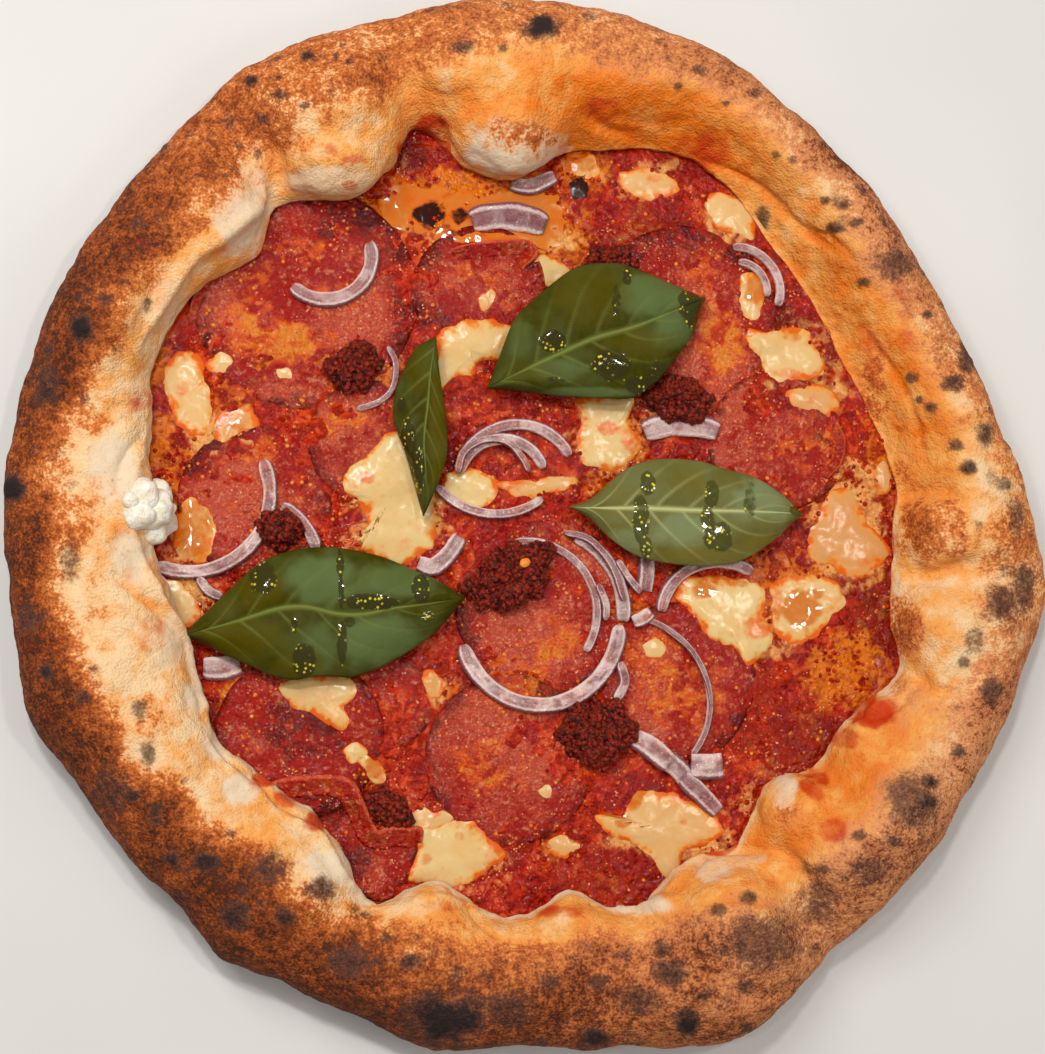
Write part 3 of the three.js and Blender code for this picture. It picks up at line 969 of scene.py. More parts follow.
@dataclass(frozen=True)
class OnionFlesh(Finish):
    """Raw red onion: wet lilac-white flesh with a purple skin along one side."""

    name = "onion_flesh"
    display = paint(196, 160, 168)
    flesh: Colour = paint(146, 102, 100)
    pale: Colour = paint(230, 206, 198)
    violet: Colour = paint(98, 42, 54)
    purple: Colour = paint(104, 34, 60)
    warm: Colour = paint(172, 82, 56)

    def wire(self, wires: Wiring, effects: Effects, shader: bpy.types.Node) -> None:
        """Draw the skins and fibres across the strip, let the sauce warm it in places, and paint highlights
        and glints.
        """
        wide = wires.group(effects.mottle, Size=8.0, Layers=2.0, Low=0.35, High=0.65, Shift=4.0)
        fine = wires.group(effects.mottle, Size=0.8, Layers=1.0, Low=0.35, High=0.65, Shift=4.4)
        across = wires.mark("across")
        place = wires.node("ShaderNodeCombineXYZ", {0: wires.times(across, 7.0),
                                                    1: wires.times(wires.mark("along"), 0.05)}).outputs[0]
        fibre = wires.node("ShaderNodeTexNoise", {"Vector": place, "Scale": 1.0, "Detail": 3.0}).outputs[0]
        colour = wires.cover(self.flesh, wires.span(fibre, 0.35, 0.65), 0.6, self.pale)
        colour = wires.cover(colour, wires.span(fibre, 0.6, 0.74), 0.4, self.violet)
        colour = wires.cover(colour, wires.span(wide, 0.3, 0.9), 0.55, self.warm)
        glass = wires.group(effects.mottle, Size=5.0, Layers=2.0, Low=0.4, High=0.6, Shift=4.9)
        colour = wires.cover(colour, glass, 0.6, self.flesh)
        bright = wires.group(effects.mottle, Size=6.0, Layers=2.0, Low=0.48, High=0.62, Shift=5.8)
        colour = wires.cover(colour, bright, 0.6, self.pale)
        # Painted glints: small pale specks.
        gleam = wires.group(effects.mottle, Size=0.6, Layers=1.0, Low=0.6, High=0.74, Shift=5.3)
        colour = wires.cover(colour, gleam, 0.5, self.pale)
        tint = wires.mark("tint")
        dusk = wires.group(effects.mottle, Size=4.5, Layers=2.0, Low=0.5, High=0.64, Shift=6.3)
        tint = wires.math("MAXIMUM", tint, wires.times(dusk, 0.55))
        colour = wires.cover(colour, tint, 0.8, self.violet)
        edge = wires.plus(across, wires.sway(fine, 0.03))
        # Pale bands near both edges: painted highlight on the strip's rims.
        colour = wires.cover(colour, wires.span(edge, 0.66, 0.8), 0.6, self.pale)
        colour = wires.cover(colour, wires.span(edge, 0.22, 0.06), 0.8, self.pale)
        colour = wires.cover(colour, wires.span(edge, 0.82, 0.9), 0.85, self.purple)
        grain = wires.group(effects.grain, Size=1.6, Fine=0.3)
        bumps = wires.bump(grain, 0.75, 0.9)
        wires.dress(shader, colour, 0.09, 0.4, bumps)


@dataclass(frozen=True)
class SpicyPaste(Finish):
    """Dark crumbly sausage paste."""

    name = "spicy_paste"
    display = paint(70, 20, 18)
    dark: Colour = paint(44, 7, 4)
    red: Colour = paint(142, 34, 18)
    brown: Colour = paint(110, 36, 16)

    def wire(self, wires: Wiring, effects: Effects, shader: bpy.types.Node) -> None:
        """Vary the crumbs from nearly black to brick red."""
        wide = wires.group(effects.mottle, Size=4.0, Layers=2.0, Low=0.35, High=0.65, Shift=5.0)
        fine = wires.group(effects.mottle, Size=1.3, Layers=2.0, Low=0.36, High=0.64, Shift=5.5)
        colour = wires.mix(fine, self.dark, self.red)
        colour = wires.cover(colour, wide, 0.4, self.brown)
        grain = wires.group(effects.grain, Size=0.8, Fine=0.5)
        bumps = wires.bump(grain, 0.35, 0.9)
        wires.dress(shader, colour, wires.span(fine, 0.0, 1.0, 0.4, 0.24), 0.28, bumps)


@dataclass(frozen=True)
class FreshCurd(Finish):
    """White ricotta curd."""

    name = "fresh_curd"
    display = paint(240, 238, 228)
    white: Colour = paint(238, 232, 218)
    shade: Colour = paint(228, 216, 192)

    def wire(self, wires: Wiring, effects: Effects, shader: bpy.types.Node) -> None:
        """A moist white with faint warmer patches."""
        wide = wires.group(effects.mottle, Size=3.0, Layers=2.0, Low=0.35, High=0.65, Shift=6.0)
        grain = wires.group(effects.grain, Size=1.0, Fine=0.5)
        bumps = wires.bump(grain, 0.4, 0.9)
        wires.dress(shader, wires.mix(wide, self.white, self.shade),
                    wires.span(wide, 0.0, 1.0, 0.5, 0.35), normal=bumps)


class LeafSide(Enum):
    """Which side of a basil leaf looks up."""

    UPPER = "upper"
    UNDER = "under"


@dataclass(frozen=True)
class BasilLeafFinish(Finish):
    """A waxy leaf with pale veins, dark patches of olive oil, painted sheen and painted glints."""

    side: LeafSide = LeafSide.UPPER
    display = paint(70, 96, 40)

    @property
    def name(self) -> str:  # type: ignore[override]
        """Return the material's name."""
        return f"basil_{self.side.value}"

    def wire(self, wires: Wiring, effects: Effects, shader: bpy.types.Node) -> None:
        """Colour the blade between its veins, wet it where the oil lies, and paint sheen and glints on it."""
        under = self.side is LeafSide.UNDER
        blade = paint(92, 88, 40) if under else paint(52, 50, 1)
        cool = paint(120, 132, 92) if under else paint(90, 106, 60)
        warm = paint(104, 92, 32) if under else paint(78, 68, 1)
        vein = paint(182, 182, 122) if under else paint(110, 118, 54)
        wet = paint(58, 58, 10) if under else paint(44, 40, 3)
        glint = paint(226, 206, 60)
        wide = wires.group(effects.mottle, Size=12.0, Layers=2.0, Twist=0.5, Low=0.35, High=0.65, Shift=7.0)
        fine = wires.group(effects.mottle, Size=2.0, Layers=2.0, Low=0.35, High=0.65, Shift=7.7)
        # Painted sheen in a cool colour, in wide patches and in the spots given for each leaf.
        colour = wires.cover(blade, wide, 0.28, cool)
        colour = wires.cover(colour, fine, 0.3, warm)
        colour = wires.cover(colour, wires.mark("cool"), 0.8, cool)
        colour = wires.cover(colour, wires.mark("warm"), 0.8, warm)
        colour = wires.mix(wires.mark("vein"), colour, vein)
        oil = wires.span(wires.plus(wires.mark("oil"), wires.sway(fine, 0.16)), 0.3, 0.6)
        colour = wires.cover(colour, oil, 0.8, wet)
        # Painted glints: clusters of yellow specks over the oil.
        gold = wires.group(effects.speckle, Size=1.2, Dot=0.42, Share=0.6, Shift=7.9)
        near = wires.group(effects.mottle, Size=4.0, Layers=1.0, Low=0.45, High=0.6, Shift=8.3)
        gold = wires.times(wires.times(gold, near), oil)
        colour = wires.cover(colour, gold, 0.8, glint)
        grain = wires.group(effects.grain, Size=2.6, Fine=0.3)
        bumps = wires.bump(grain, 0.3, 0.6)
        wires.dress(shader, colour, wires.span(oil, 0.0, 1.0, 0.5, 0.1), 0.06, bumps)
        wires.feed(shader.inputs["Coat Weight"], wires.times(oil, 0.7))
        shader.inputs["Coat Roughness"].default_value = 0.04


@dataclass(frozen=True)
class ClearOil(Finish):
    """Drops of yellow olive oil."""

    name = "clear_oil"
    display = paint(214, 150, 30)

    def wire(self, wires: Wiring, effects: Effects, shader: bpy.types.Node) -> None:
        """A wet orange-yellow with a very smooth skin."""
        tone = wires.group(effects.mottle, Size=6.0, Layers=1.0, Low=0.3, High=0.7, Shift=8.0)
        wires.dress(shader, wires.mix(tone, paint(200, 78, 12), paint(226, 136, 26)), 0.06)
        shader.inputs["Coat Weight"].default_value = 0.6
        shader.inputs["Coat Roughness"].default_value = 0.03


@dataclass(frozen=True)
class PaleFloor(Finish):
    """A plain pale floor."""

    name = "pale_floor"
    display = paint(226, 224, 220)

    def wire(self, wires: Wiring, effects: Effects, shader: bpy.types.Node) -> None:
        """Almost flat, with the faintest cloud in it."""
        cloud = wires.group(effects.mottle, Size=120.0, Layers=2.0, Low=0.2, High=0.8)
        wires.dress(shader, wires.mix(cloud, paint(208, 206, 202), paint(214, 212, 208)), 0.8)


# ---------------------------------------------------------------------------------------------------------
# Crust
# ---------------------------------------------------------------------------------------------------------


@dataclass
class PuffedCrust:
    """The dough: a thin base and the tall puffed rim, as one solid."""

    steps: int = 1000
    outer_radius: float = 151.0
    inner_radius: float = 109.0
    crest_height: float = 26.0
    widest_height: float = 10.0
    foot_inset: float = 12.0
    base_top: float = 4.2
    lip_height: float = 10.5
    lip_drop: float = 4.0
    foot_rows: int = 9
    outer_rows: int = 27
    inner_rows: int = 45
    lip_rows: int = 5
    char_dots: int = 300
    outline_bulges: Bulges = (
        (32, 52, -15), (46, 16, 2.3), (91, 14, 2.6), (122, 14, 3), (148, 20, -1.3), (203, 8, 3.3),
        (235, 7, 3.7), (259, 10, 4.5), (276, 12, 2), (291, 16, 8.5), (330, 16, -1.4), (352, 10, 3.6))
    inner_flaps: Bulges = (
        (27, 28, -5), (66, 19, 9), (95, 13, -9.5), (107, 6, 9), (119, 7, -3), (130, 8, 8), (155, 22, 9.5),
        (199, 14, -2), (217, 7, 3), (234, 5, -2), (247, 9, 11.5), (265, 12, 7), (284, 10, 8.5), (301, 5, 2.5),
        (311, 7, -5), (337, 9, 6.5), (357, 10, -3))
    crest_swells: Bulges = (
        (27, 35, -3), (95, 14, 3), (107, 6, -4), (118, 9, 2), (129, 7, -6), (152, 18, 2), (174, 14, -3),
        (207, 18, 3), (235, 12, 3), (262, 14, 2), (291, 13, 5), (304, 6, -5), (317, 11, 3), (352, 5, -4))
    # How gently the inner wall slopes, from 0 for a torn upright lip to 1 for a long smooth slope.
    slope_round: Sequence[tuple[float, float]] = (
        (0, 0.5), (12, 0.95), (50, 1), (62, 0.8), (82, 0.6), (92, 0.35), (104, 0.5), (110, 0.2), (122, 0.15),
        (130, 0.5), (150, 0.35), (165, 0.3), (180, 0.1), (200, 0.15), (230, 0.1), (250, 0.1), (262, 0.3),
        (285, 0.25), (300, 0.4), (318, 0.6), (328, 0.3), (340, 0.35), (352, 0.4))
    # How ragged the lip's edge is.
    torn_round: Sequence[tuple[float, float]] = (
        (0, 0.2), (40, 0.05), (60, 0.15), (100, 0.2), (135, 0.2), (165, 0.5), (175, 1), (195, 0.7),
        (215, 0.8), (240, 1), (258, 0.6), (275, 1), (290, 0.5), (320, 0.5), (335, 0.7), (345, 0.5))
    # The pixel radius at which the brown outer band ends.
    brown_round: Sequence[tuple[float, float]] = (
        (0, 447), (20, 440), (34, 444), (46, 458), (55, 468), (65, 480), (90, 482), (104, 462), (118, 452),
        (132, 446), (160, 454), (185, 468), (205, 462), (222, 436), (240, 424), (258, 424), (275, 424),
        (290, 430), (302, 452), (318, 458), (335, 466), (350, 452))
    # How dark that band bakes.
    depth_round: Sequence[tuple[float, float]] = (
        (0, 0.2), (12, 0.3), (25, 0.42), (48, 0.8), (75, 0.42), (100, 0.38), (116, 0.46), (132, 0.54),
        (152, 0.8), (190, 0.8), (215, 0.78), (240, 0.78), (262, 0.76), (285, 0.66), (305, 0.52), (330, 0.56),
        (348, 0.34))
    # How pinkish the band is.
    tan_round: Sequence[tuple[float, float]] = (
        (0, 0.05), (20, 0.4), (40, 0.8), (65, 0.6), (90, 0.25), (110, 0.1), (240, 0.05), (270, 0.2),
        (300, 0.7), (330, 1))
    # How oily and golden the inner wall is.
    gold_round: Sequence[tuple[float, float]] = (
        (0, 0.5), (12, 0.75), (35, 0.7), (50, 0.5), (60, 0.6), (70, 0.9), (88, 0.8), (104, 0.55), (112, 0.35),
        (124, 0.25), (140, 0.4), (158, 0.3), (172, 0.12), (200, 0.16), (225, 0.24), (240, 0.24), (255, 0.4),
        (270, 0.5), (285, 0.45), (300, 0.55), (312, 0.65), (325, 0.6), (340, 0.3), (350, 0.35))
    # Lumps of dough: pixel, half sizes in pixels, turn, rise, and how far they lean in over the toppings.
    lumps: Rows = (
        (512, 140, 70, 38, 4, 4.5, 0.5), (335, 168, 66, 30, 6, 4.0, 0.45), (930, 540, 52, 44, 0, 4.5, 0.2),
        (745, 918, 68, 56, 10, 4.2, 0.1), (790, 800, 40, 42, -40, 3.6, 0.2), (230, 215, 40, 52, 30, 2.2, 0.1),
        (930, 625, 34, 60, 10, 2.4, 0.2), (120, 470, 40, 60, 0, 2.0, 0.2), (300, 895, 60, 34, 30, 2.0, 0.0),
        (640, 85, 70, 36, -10, 1.6, 0.0), (860, 240, 44, 60, 35, 2.0, 0.0), (965, 400, 40, 50, 20, 1.8, 0.0),
        (905, 800, 44, 60, -35, 2.0, 0.0), (540, 985, 70, 40, 0, 2.2, 0.0), (400, 975, 60, 44, 15, 2.0, 0.0),
        (190, 860, 44, 50, -30, 2.2, 0.0), (85, 700, 40, 60, 10, 1.8, 0.0), (60, 470, 36, 70, 0, 1.5, 0.0),
        (110, 320, 40, 60, -20, 2.0, 0.0), (330, 95, 60, 36, 18, 2.2, 0.0), (450, 60, 50, 30, 6, 1.6, 0.0),
        (835, 870, 34, 30, 0, 1.6, 0.0), (660, 985, 44, 36, 0, 1.8, 0.0), (590, 920, 40, 18, 0, 1.6, 0.3),
        (655, 905, 30, 16, 0, 1.6, 0.3), (845, 740, 34, 30, -40, 1.8, 0.2), (1000, 610, 30, 50, 0, 1.6, 0.0))
    # Creases: depth, half width in millimetres, and the pixels that they run through.
    creases: Sequence[tuple[float, float, Pixels]] = (
        (4.0, 3.0, ((252, 132), (272, 160), (276, 204))), (2.4, 2.2, ((900, 572), (935, 575), (978, 560))),
        (2.6, 2.4, ((884, 500), (905, 492), (930, 488), (960, 495))),
        (1.8, 1.8, ((905, 668), (930, 690), (960, 690))),
        (2.6, 2.2, ((678, 885), (705, 850), (760, 846), (800, 872), (815, 925))),
        (2.0, 2.0, ((436, 118), (446, 160))), (1.4, 1.4, ((690, 905), (740, 895), (790, 905))),
        (1.4, 1.4, ((735, 940), (790, 925), (815, 935))),
        (1.6, 1.6, ((690, 160), (750, 185), (800, 232), (850, 262))),
        (1.2, 1.2, ((798, 228), (830, 240), (852, 262))), (1.8, 1.8, ((585, 100), (600, 130), (640, 140))),
        (1.6, 1.6, ((255, 760), (280, 800), (330, 830))), (1.4, 1.4, ((100, 560), (150, 600), (190, 640))),
        (1.4, 1.6, ((200, 690), (215, 740), (255, 775))), (1.6, 1.4, ((405, 120), (420, 150), (430, 170))),
        (1.2, 1.3, ((150, 430), (125, 460), (118, 500))), (1.4, 1.6, ((840, 700), (870, 715), (915, 690))),
        (1.2, 1.4, ((730, 985), (760, 1000), (800, 985))), (1.0, 1.2, ((470, 905), (500, 935), (560, 940))),
        (1.2, 1.4, ((860, 330), (905, 400), (925, 470))))
    # Ridges, given as the creases are.
    ridges: Sequence[tuple[float, float, Pixels]] = (
        (2.6, 2.6, ((262, 152), (266, 198), (232, 232), (192, 262), (158, 312), (128, 375))),
        (1.6, 1.8, ((118, 430), (150, 425), (138, 470), (130, 520), (160, 590), (195, 650), (215, 740),
                    (268, 800))),
        (1.6, 1.8, ((268, 800), (320, 830), (348, 880), (388, 908))),
        (1.3, 1.6, ((395, 905), (440, 895), (500, 915))), (1.6, 2.0, ((600, 905), (650, 905), (680, 890))),
        (1.5, 2.0, ((895, 690), (865, 712), (845, 750))))
    # Spots of char: pixel, radii in pixels, darkness.
    spots: Rows = (
        (541, 28, 19, 13, 1.0), (461, 47, 14, 8, 0.6), (502, 48, 6, 5, 0.5), (308, 57, 8, 6, 0.75),
        (336, 56, 4, 4, 0.6), (349, 62, 4, 4, 0.6), (279, 78, 4, 4, 0.6), (252, 81, 8, 6, 0.85),
        (280, 95, 10, 6, 0.6), (304, 105, 7, 5, 0.5), (264, 119, 9, 6, 0.55), (162, 143, 8, 10, 0.6),
        (82, 327, 13, 14, 0.95), (124, 282, 6, 5, 0.55), (147, 302, 5, 4, 0.6), (13, 487, 12, 15, 1.0),
        (46, 386, 15, 26, 0.55), (46, 672, 8, 10, 0.7), (82, 698, 9, 7, 0.6), (140, 710, 9, 12, 0.5),
        (148, 754, 9, 14, 0.5), (133, 795, 9, 8, 0.7), (155, 815, 8, 14, 0.5), (172, 858, 10, 8, 0.75),
        (206, 861, 14, 10, 0.75), (230, 834, 6, 5, 0.5), (271, 868, 22, 20, 0.55), (286, 916, 12, 10, 0.65),
        (235, 916, 16, 16, 0.7), (320, 888, 17, 14, 0.6), (386, 938, 8, 6, 0.55), (412, 961, 13, 10, 0.65),
        (446, 1018, 42, 28, 0.92), (594, 1037, 16, 10, 0.85), (686, 1021, 15, 14, 0.95),
        (663, 950, 10, 9, 0.55), (669, 972, 22, 16, 0.6), (548, 982, 14, 10, 0.5), (599, 982, 14, 10, 0.5),
        (703, 996, 8, 6, 0.6), (745, 987, 14, 10, 0.45), (762, 942, 44, 34, 0.5), (749, 898, 10, 8, 0.6),
        (718, 911, 9, 8, 0.6), (747, 1028, 7, 6, 0.6), (859, 836, 8, 7, 0.6), (895, 841, 10, 8, 0.5),
        (912, 822, 7, 6, 0.6), (927, 802, 11, 10, 0.75), (929, 782, 9, 8, 0.85), (912, 800, 30, 34, 0.5),
        (958, 752, 9, 8, 0.6), (992, 691, 14, 16, 0.6), (964, 662, 7, 6, 0.6), (1002, 604, 20, 22, 0.6),
        (1024, 587, 12, 26, 0.6), (1004, 485, 9, 8, 0.55), (968, 468, 10, 8, 0.75), (986, 434, 9, 13, 0.7),
        (956, 445, 8, 6, 0.6), (931, 407, 8, 6, 0.6), (919, 400, 5, 5, 0.6), (912, 378, 8, 6, 0.6),
        (953, 383, 14, 10, 0.6), (968, 356, 12, 18, 0.6), (928, 315, 6, 5, 0.7), (895, 265, 24, 18, 0.5),
        (865, 282, 8, 6, 0.65), (835, 228, 11, 6, 0.75), (856, 222, 8, 6, 0.6), (843, 205, 9, 7, 0.6),
        (825, 200, 6, 5, 0.6), (776, 155, 6, 5, 0.5), (756, 93, 7, 6, 0.5), (726, 103, 4, 3, 0.6),
        (699, 70, 8, 6, 0.5), (678, 86, 6, 5, 0.5), (762, 220, 8, 15, 0.7), (820, 870, 16, 6, 0.5),
        (142, 160, 10, 14, 0.4), (70, 560, 14, 22, 0.4), (28, 620, 12, 24, 0.45), (110, 790, 20, 26, 0.5),
        (350, 960, 26, 18, 0.55), (505, 1010, 30, 22, 0.5), (640, 1000, 26, 18, 0.45),
        (818, 905, 24, 30, 0.45), (870, 870, 24, 20, 0.45), (975, 640, 12, 18, 0.4),
        (1016, 520, 10, 22, 0.45))
    # Where the inner wall has browned.
    toasts: Rows = (
        (930, 530, 50, 38, 0.6), (905, 622, 22, 46, 0.46), (872, 400, 20, 66, 0.6), (900, 470, 24, 30, 0.3),
        (835, 320, 20, 40, 0.12), (75, 520, 30, 70, 0.3), (95, 610, 26, 60, 0.26),
        (90, 420, 26, 40, 0.3), (150, 720, 30, 40, 0.28), (150, 280, 24, 40, 0.22), (520, 132, 50, 24, 0.4),
        (745, 905, 40, 26, 0.22), (610, 945, 60, 16, 0.3), (480, 925, 60, 12, 0.25), (790, 815, 20, 24, 0.25),
        (295, 140, 40, 20, 0.24), (905, 700, 30, 24, 0.25), (965, 400, 20, 40, 0.3))
    # Red and orange stains.
    stains: Rows = (
        (432, 128, 20, 18, 0.95), (408, 158, 16, 22, 1.0), (350, 186, 10, 6, 0.9), (353, 160, 16, 8, 0.6),
        (330, 150, 12, 8, 0.5), (600, 110, 30, 14, 0.5), (650, 118, 30, 12, 0.5), (700, 150, 34, 22, 0.55),
        (120, 590, 16, 26, 0.35), (150, 630, 18, 26, 0.4), (265, 778, 16, 10, 0.9), (320, 822, 20, 12, 0.9),
        (285, 800, 16, 10, 0.5), (870, 712, 32, 18, 0.95), (845, 738, 20, 14, 0.7), (815, 785, 16, 20, 0.7),
        (832, 830, 16, 16, 0.6), (905, 320, 20, 50, 0.3), (868, 370, 18, 60, 0.5), (140, 398, 14, 18, 0.6),
        (560, 912, 30, 8, 0.6), (450, 905, 40, 8, 0.5), (745, 880, 30, 10, 0.35), (905, 440, 12, 26, 0.4),
        (700, 190, 20, 14, 0.5), (640, 130, 20, 12, 0.5))
    # White crumb where the dough is torn or floury.
    crumbs: Rows = (
        (112, 465, 30, 44, 0.9), (130, 560, 26, 36, 0.7), (165, 640, 22, 36, 0.6), (220, 735, 22, 34, 0.8),
        (240, 790, 22, 20, 0.8), (330, 870, 40, 24, 1.0), (370, 895, 26, 14, 1.0), (240, 205, 36, 62, 0.75),
        (165, 300, 22, 44, 0.6), (512, 148, 64, 34, 0.85), (330, 180, 60, 18, 0.6), (640, 905, 44, 12, 0.8),
        (715, 870, 30, 16, 0.6), (898, 612, 9, 46, 0.7), (860, 725, 20, 10, 0.4), (785, 790, 16, 26, 0.7),
        (735, 860, 44, 12, 0.5), (885, 690, 16, 10, 0.7), (195, 700, 16, 20, 0.7))

    def skin(self) -> tuple[np.ndarray, np.ndarray, np.ndarray]:
        """Shape the crust from its plan and its cross-section.

        Returns:
            The grid of corners, each row's share of the arch from the outside in, and each row's softness.
        """
        ripple = Ripple(Seed.CRUST_PLAN)
        angles = np.arange(self.steps) * 360 / self.steps
        around = headings(angles)
        outer = self.outer_radius + bulge_at(angles, self.outline_bulges)
        torn = round_table(angles, self.torn_round)
        edge = np.concatenate([around * self.inner_radius, np.zeros((self.steps, 1))], axis=1)
        ragged = 2.2 * ripple.layers(edge, 13.0, 3) + 0.25 * ripple.at(edge + 9, 2.6)
        inner = self.inner_radius + bulge_at(angles, self.inner_flaps) + torn * ragged
        crest = self.crest_height + bulge_at(angles, self.crest_swells) - 0.8
        slope = round_table(angles, self.slope_round)
        top = outer - (outer - inner) * (0.42 + 0.05 * ripple.at(edge, 60.0))
        rows, shares, soft = [], [], []

        def add(radius: np.ndarray, height: np.ndarray | float, share: float, softness: float) -> None:
            """Add one ring of corners."""
            rows.append(np.stack([radius * around[:, 0], radius * around[:, 1],
                                  np.broadcast_to(height, radius.shape)], axis=-1))
            shares.append(share)
            soft.append(softness)

        for part in (0.02, 0.3, 0.6, 0.85, 0.95):
            add((outer - self.foot_inset) * part, 0.0, 0.0, 0.0)
        for k in range(self.foot_rows):
            turn = math.pi / 2 * k / self.foot_rows
            add(outer - self.foot_inset * (1 - math.sin(turn)), self.widest_height * (1 - math.cos(turn)),
                0.0, k / self.foot_rows)
        for k in range(self.outer_rows):
            turn = math.pi / 2 * k / self.outer_rows
            add(top + (outer - top) * math.cos(turn),
                self.widest_height + (crest - self.widest_height) * math.sin(turn) ** 0.9,
                0.45 * k / self.outer_rows, 1.0)
        end = self.lip_height - self.lip_drop * slope
        for k in range(self.inner_rows):
            part = k / (self.inner_rows - 1)
            turn = math.pi / 2 * part
            run = (1 - slope) * math.sin(turn) + slope * (0.35 * math.sin(turn) + 0.65 * part)
            fall = (1 - slope) * math.cos(turn) ** 0.8 + slope * (0.5 + 0.5 * math.cos(math.pi * part))
            add(top - (top - inner) * run, end + (crest - end) * fall, 0.45 + 0.55 * part, 1.0)
        for k in range(1, self.lip_rows + 1):
            part = k / self.lip_rows
            radius = inner + 1.8 * part * (1 - slope) + 0.6 * part
            add(radius, end * (1 - part) + self.base_top * part, 1.0, 1 - part)
        for part in (0.94, 0.8, 0.5, 0.02):
            add(inner * part, self.base_top, 1.0, 0.0)
        return np.array(rows), np.array(shares), np.array(soft)

    @staticmethod
    def outward(grid: np.ndarray) -> np.ndarray:
        """Find the way out of the dough.

        Args:
            grid: the corners of a grid that is closed round its columns.

        Returns:
            The outward direction at each corner.
        """
        round_way = np.roll(grid, -1, axis=1) - np.roll(grid, 1, axis=1)
        along = np.empty_like(grid)
        along[1:-1] = grid[2:] - grid[:-2]
        along[0], along[-1] = grid[1] - grid[0], grid[-1] - grid[-2]
        way = np.cross(round_way, along)
        return way / np.maximum(np.linalg.norm(way, axis=-1, keepdims=True), 1e-9)

    @staticmethod
    def pick(grid: np.ndarray, seen: np.ndarray, px: float, py: float) -> np.ndarray:
        """Find the spot of the crust that a pixel shows.

        Args:
            grid: the crust's corners.
            seen: the pixel of each corner.
            px: the pixel's first number.
            py: its second number.

        Returns:
            The highest corner near the pixel.
        """
        away = np.hypot(seen[..., 0] - px, seen[..., 1] - py)
        near = away < max(4.0, away.min() + 1.0)
        return grid.reshape(-1, 3)[np.argmax(np.where(near, grid[..., 2], -1e9).ravel())]

    def shaped(self) -> tuple[np.ndarray, np.ndarray, np.ndarray]:
        """Swell, crease and roughen the plain skin.

        Returns:
            The corners, the arch shares of the rows, and a mask of the creases.
        """
        ripple = Ripple(Seed.CRUST_SWELL)
        grid, shares, soft = self.skin()
        weight = soft[:, None]
        way = self.outward(grid)
        swell = 1.5 * ripple.at(grid, 34.0) + 1.0 * np.abs(ripple.at(grid + 50, 19.0))
        grid = grid + way * (swell * weight)[..., None]
        seen = CAMERA.project(grid)
        way = self.outward(grid)
        radial = grid.copy()
        radial[..., 2] = 0
        radial /= np.maximum(np.linalg.norm(radial, axis=-1, keepdims=True), 1e-9)
        push = np.zeros_like(grid)
        for px, py, wide, tall, turn, rise, lean in self.lumps:
            centre = self.pick(grid, seen, px, py)
            away = grid - centre
            c, s = math.cos(math.radians(turn)), math.sin(math.radians(turn))
            u = (away[..., 0] * c + away[..., 1] * s) / (wide / PIXELS_PER_MM)
            v = (-away[..., 0] * s + away[..., 1] * c) / (tall / PIXELS_PER_MM)
            w = away[..., 2] / (0.5 * (wide + tall) / PIXELS_PER_MM)
            span = u * u + v * v + w * w
            shape = rise * np.clip(1 - span, 0, 1) ** (0.75 if lean > 0.3 else 1.1)
            push += (way * (1 - lean) - radial * lean) * shape[..., None]
        grid = grid + push * weight[..., None]
        seen = CAMERA.project(grid)
        way = self.outward(grid)
        creased = np.zeros(grid.shape[:2])
        shift = np.zeros(grid.shape[:2])
        for sign, lines in ((-1, self.creases), (1, self.ridges)):
            for depth, half, pixels in lines:
                run = np.linalg.norm(np.diff(np.array(pixels, float), axis=0), axis=1).sum()
                count = max(12, int(run / PIXELS_PER_MM))
                beads = np.array([self.pick(grid, seen, *pixel) for pixel in smooth_line(pixels, count)])
                padded = np.concatenate([beads[:1].repeat(3, 0), beads, beads[-1:].repeat(3, 0)])
                beads = sum(padded[k:k + count] for k in range(7)) / 7
                low, high = beads.min(0) - 4 * half, beads.max(0) + 4 * half
                inside = np.all((grid > low) & (grid < high), axis=-1)
                near = np.linalg.norm(grid[inside][:, None] - beads[None], axis=-1)
                bead = np.arange(count)
                ends = np.clip(np.minimum(bead, count - 1 - bead) / (count / 4), 0.25, 1)
                which = near.argmin(1)
                cut = np.exp(-((near[np.arange(len(near)), which] / half) ** 2)) * ends[which]
                shift[inside] += sign * depth * cut
                if sign < 0:
                    creased[inside] = np.maximum(creased[inside], cut)
        grid = grid + way * (shift * weight)[..., None]
        way = self.outward(grid)
        rough = (0.7 * ripple.layers(grid, 11.0, 2) + 0.32 * ripple.layers(grid + 20, 4.5, 2)
                 + 0.14 * ripple.at(grid + 80, 1.9))
        grid = grid + way * (rough * weight)[..., None]
        return grid, shares, creased

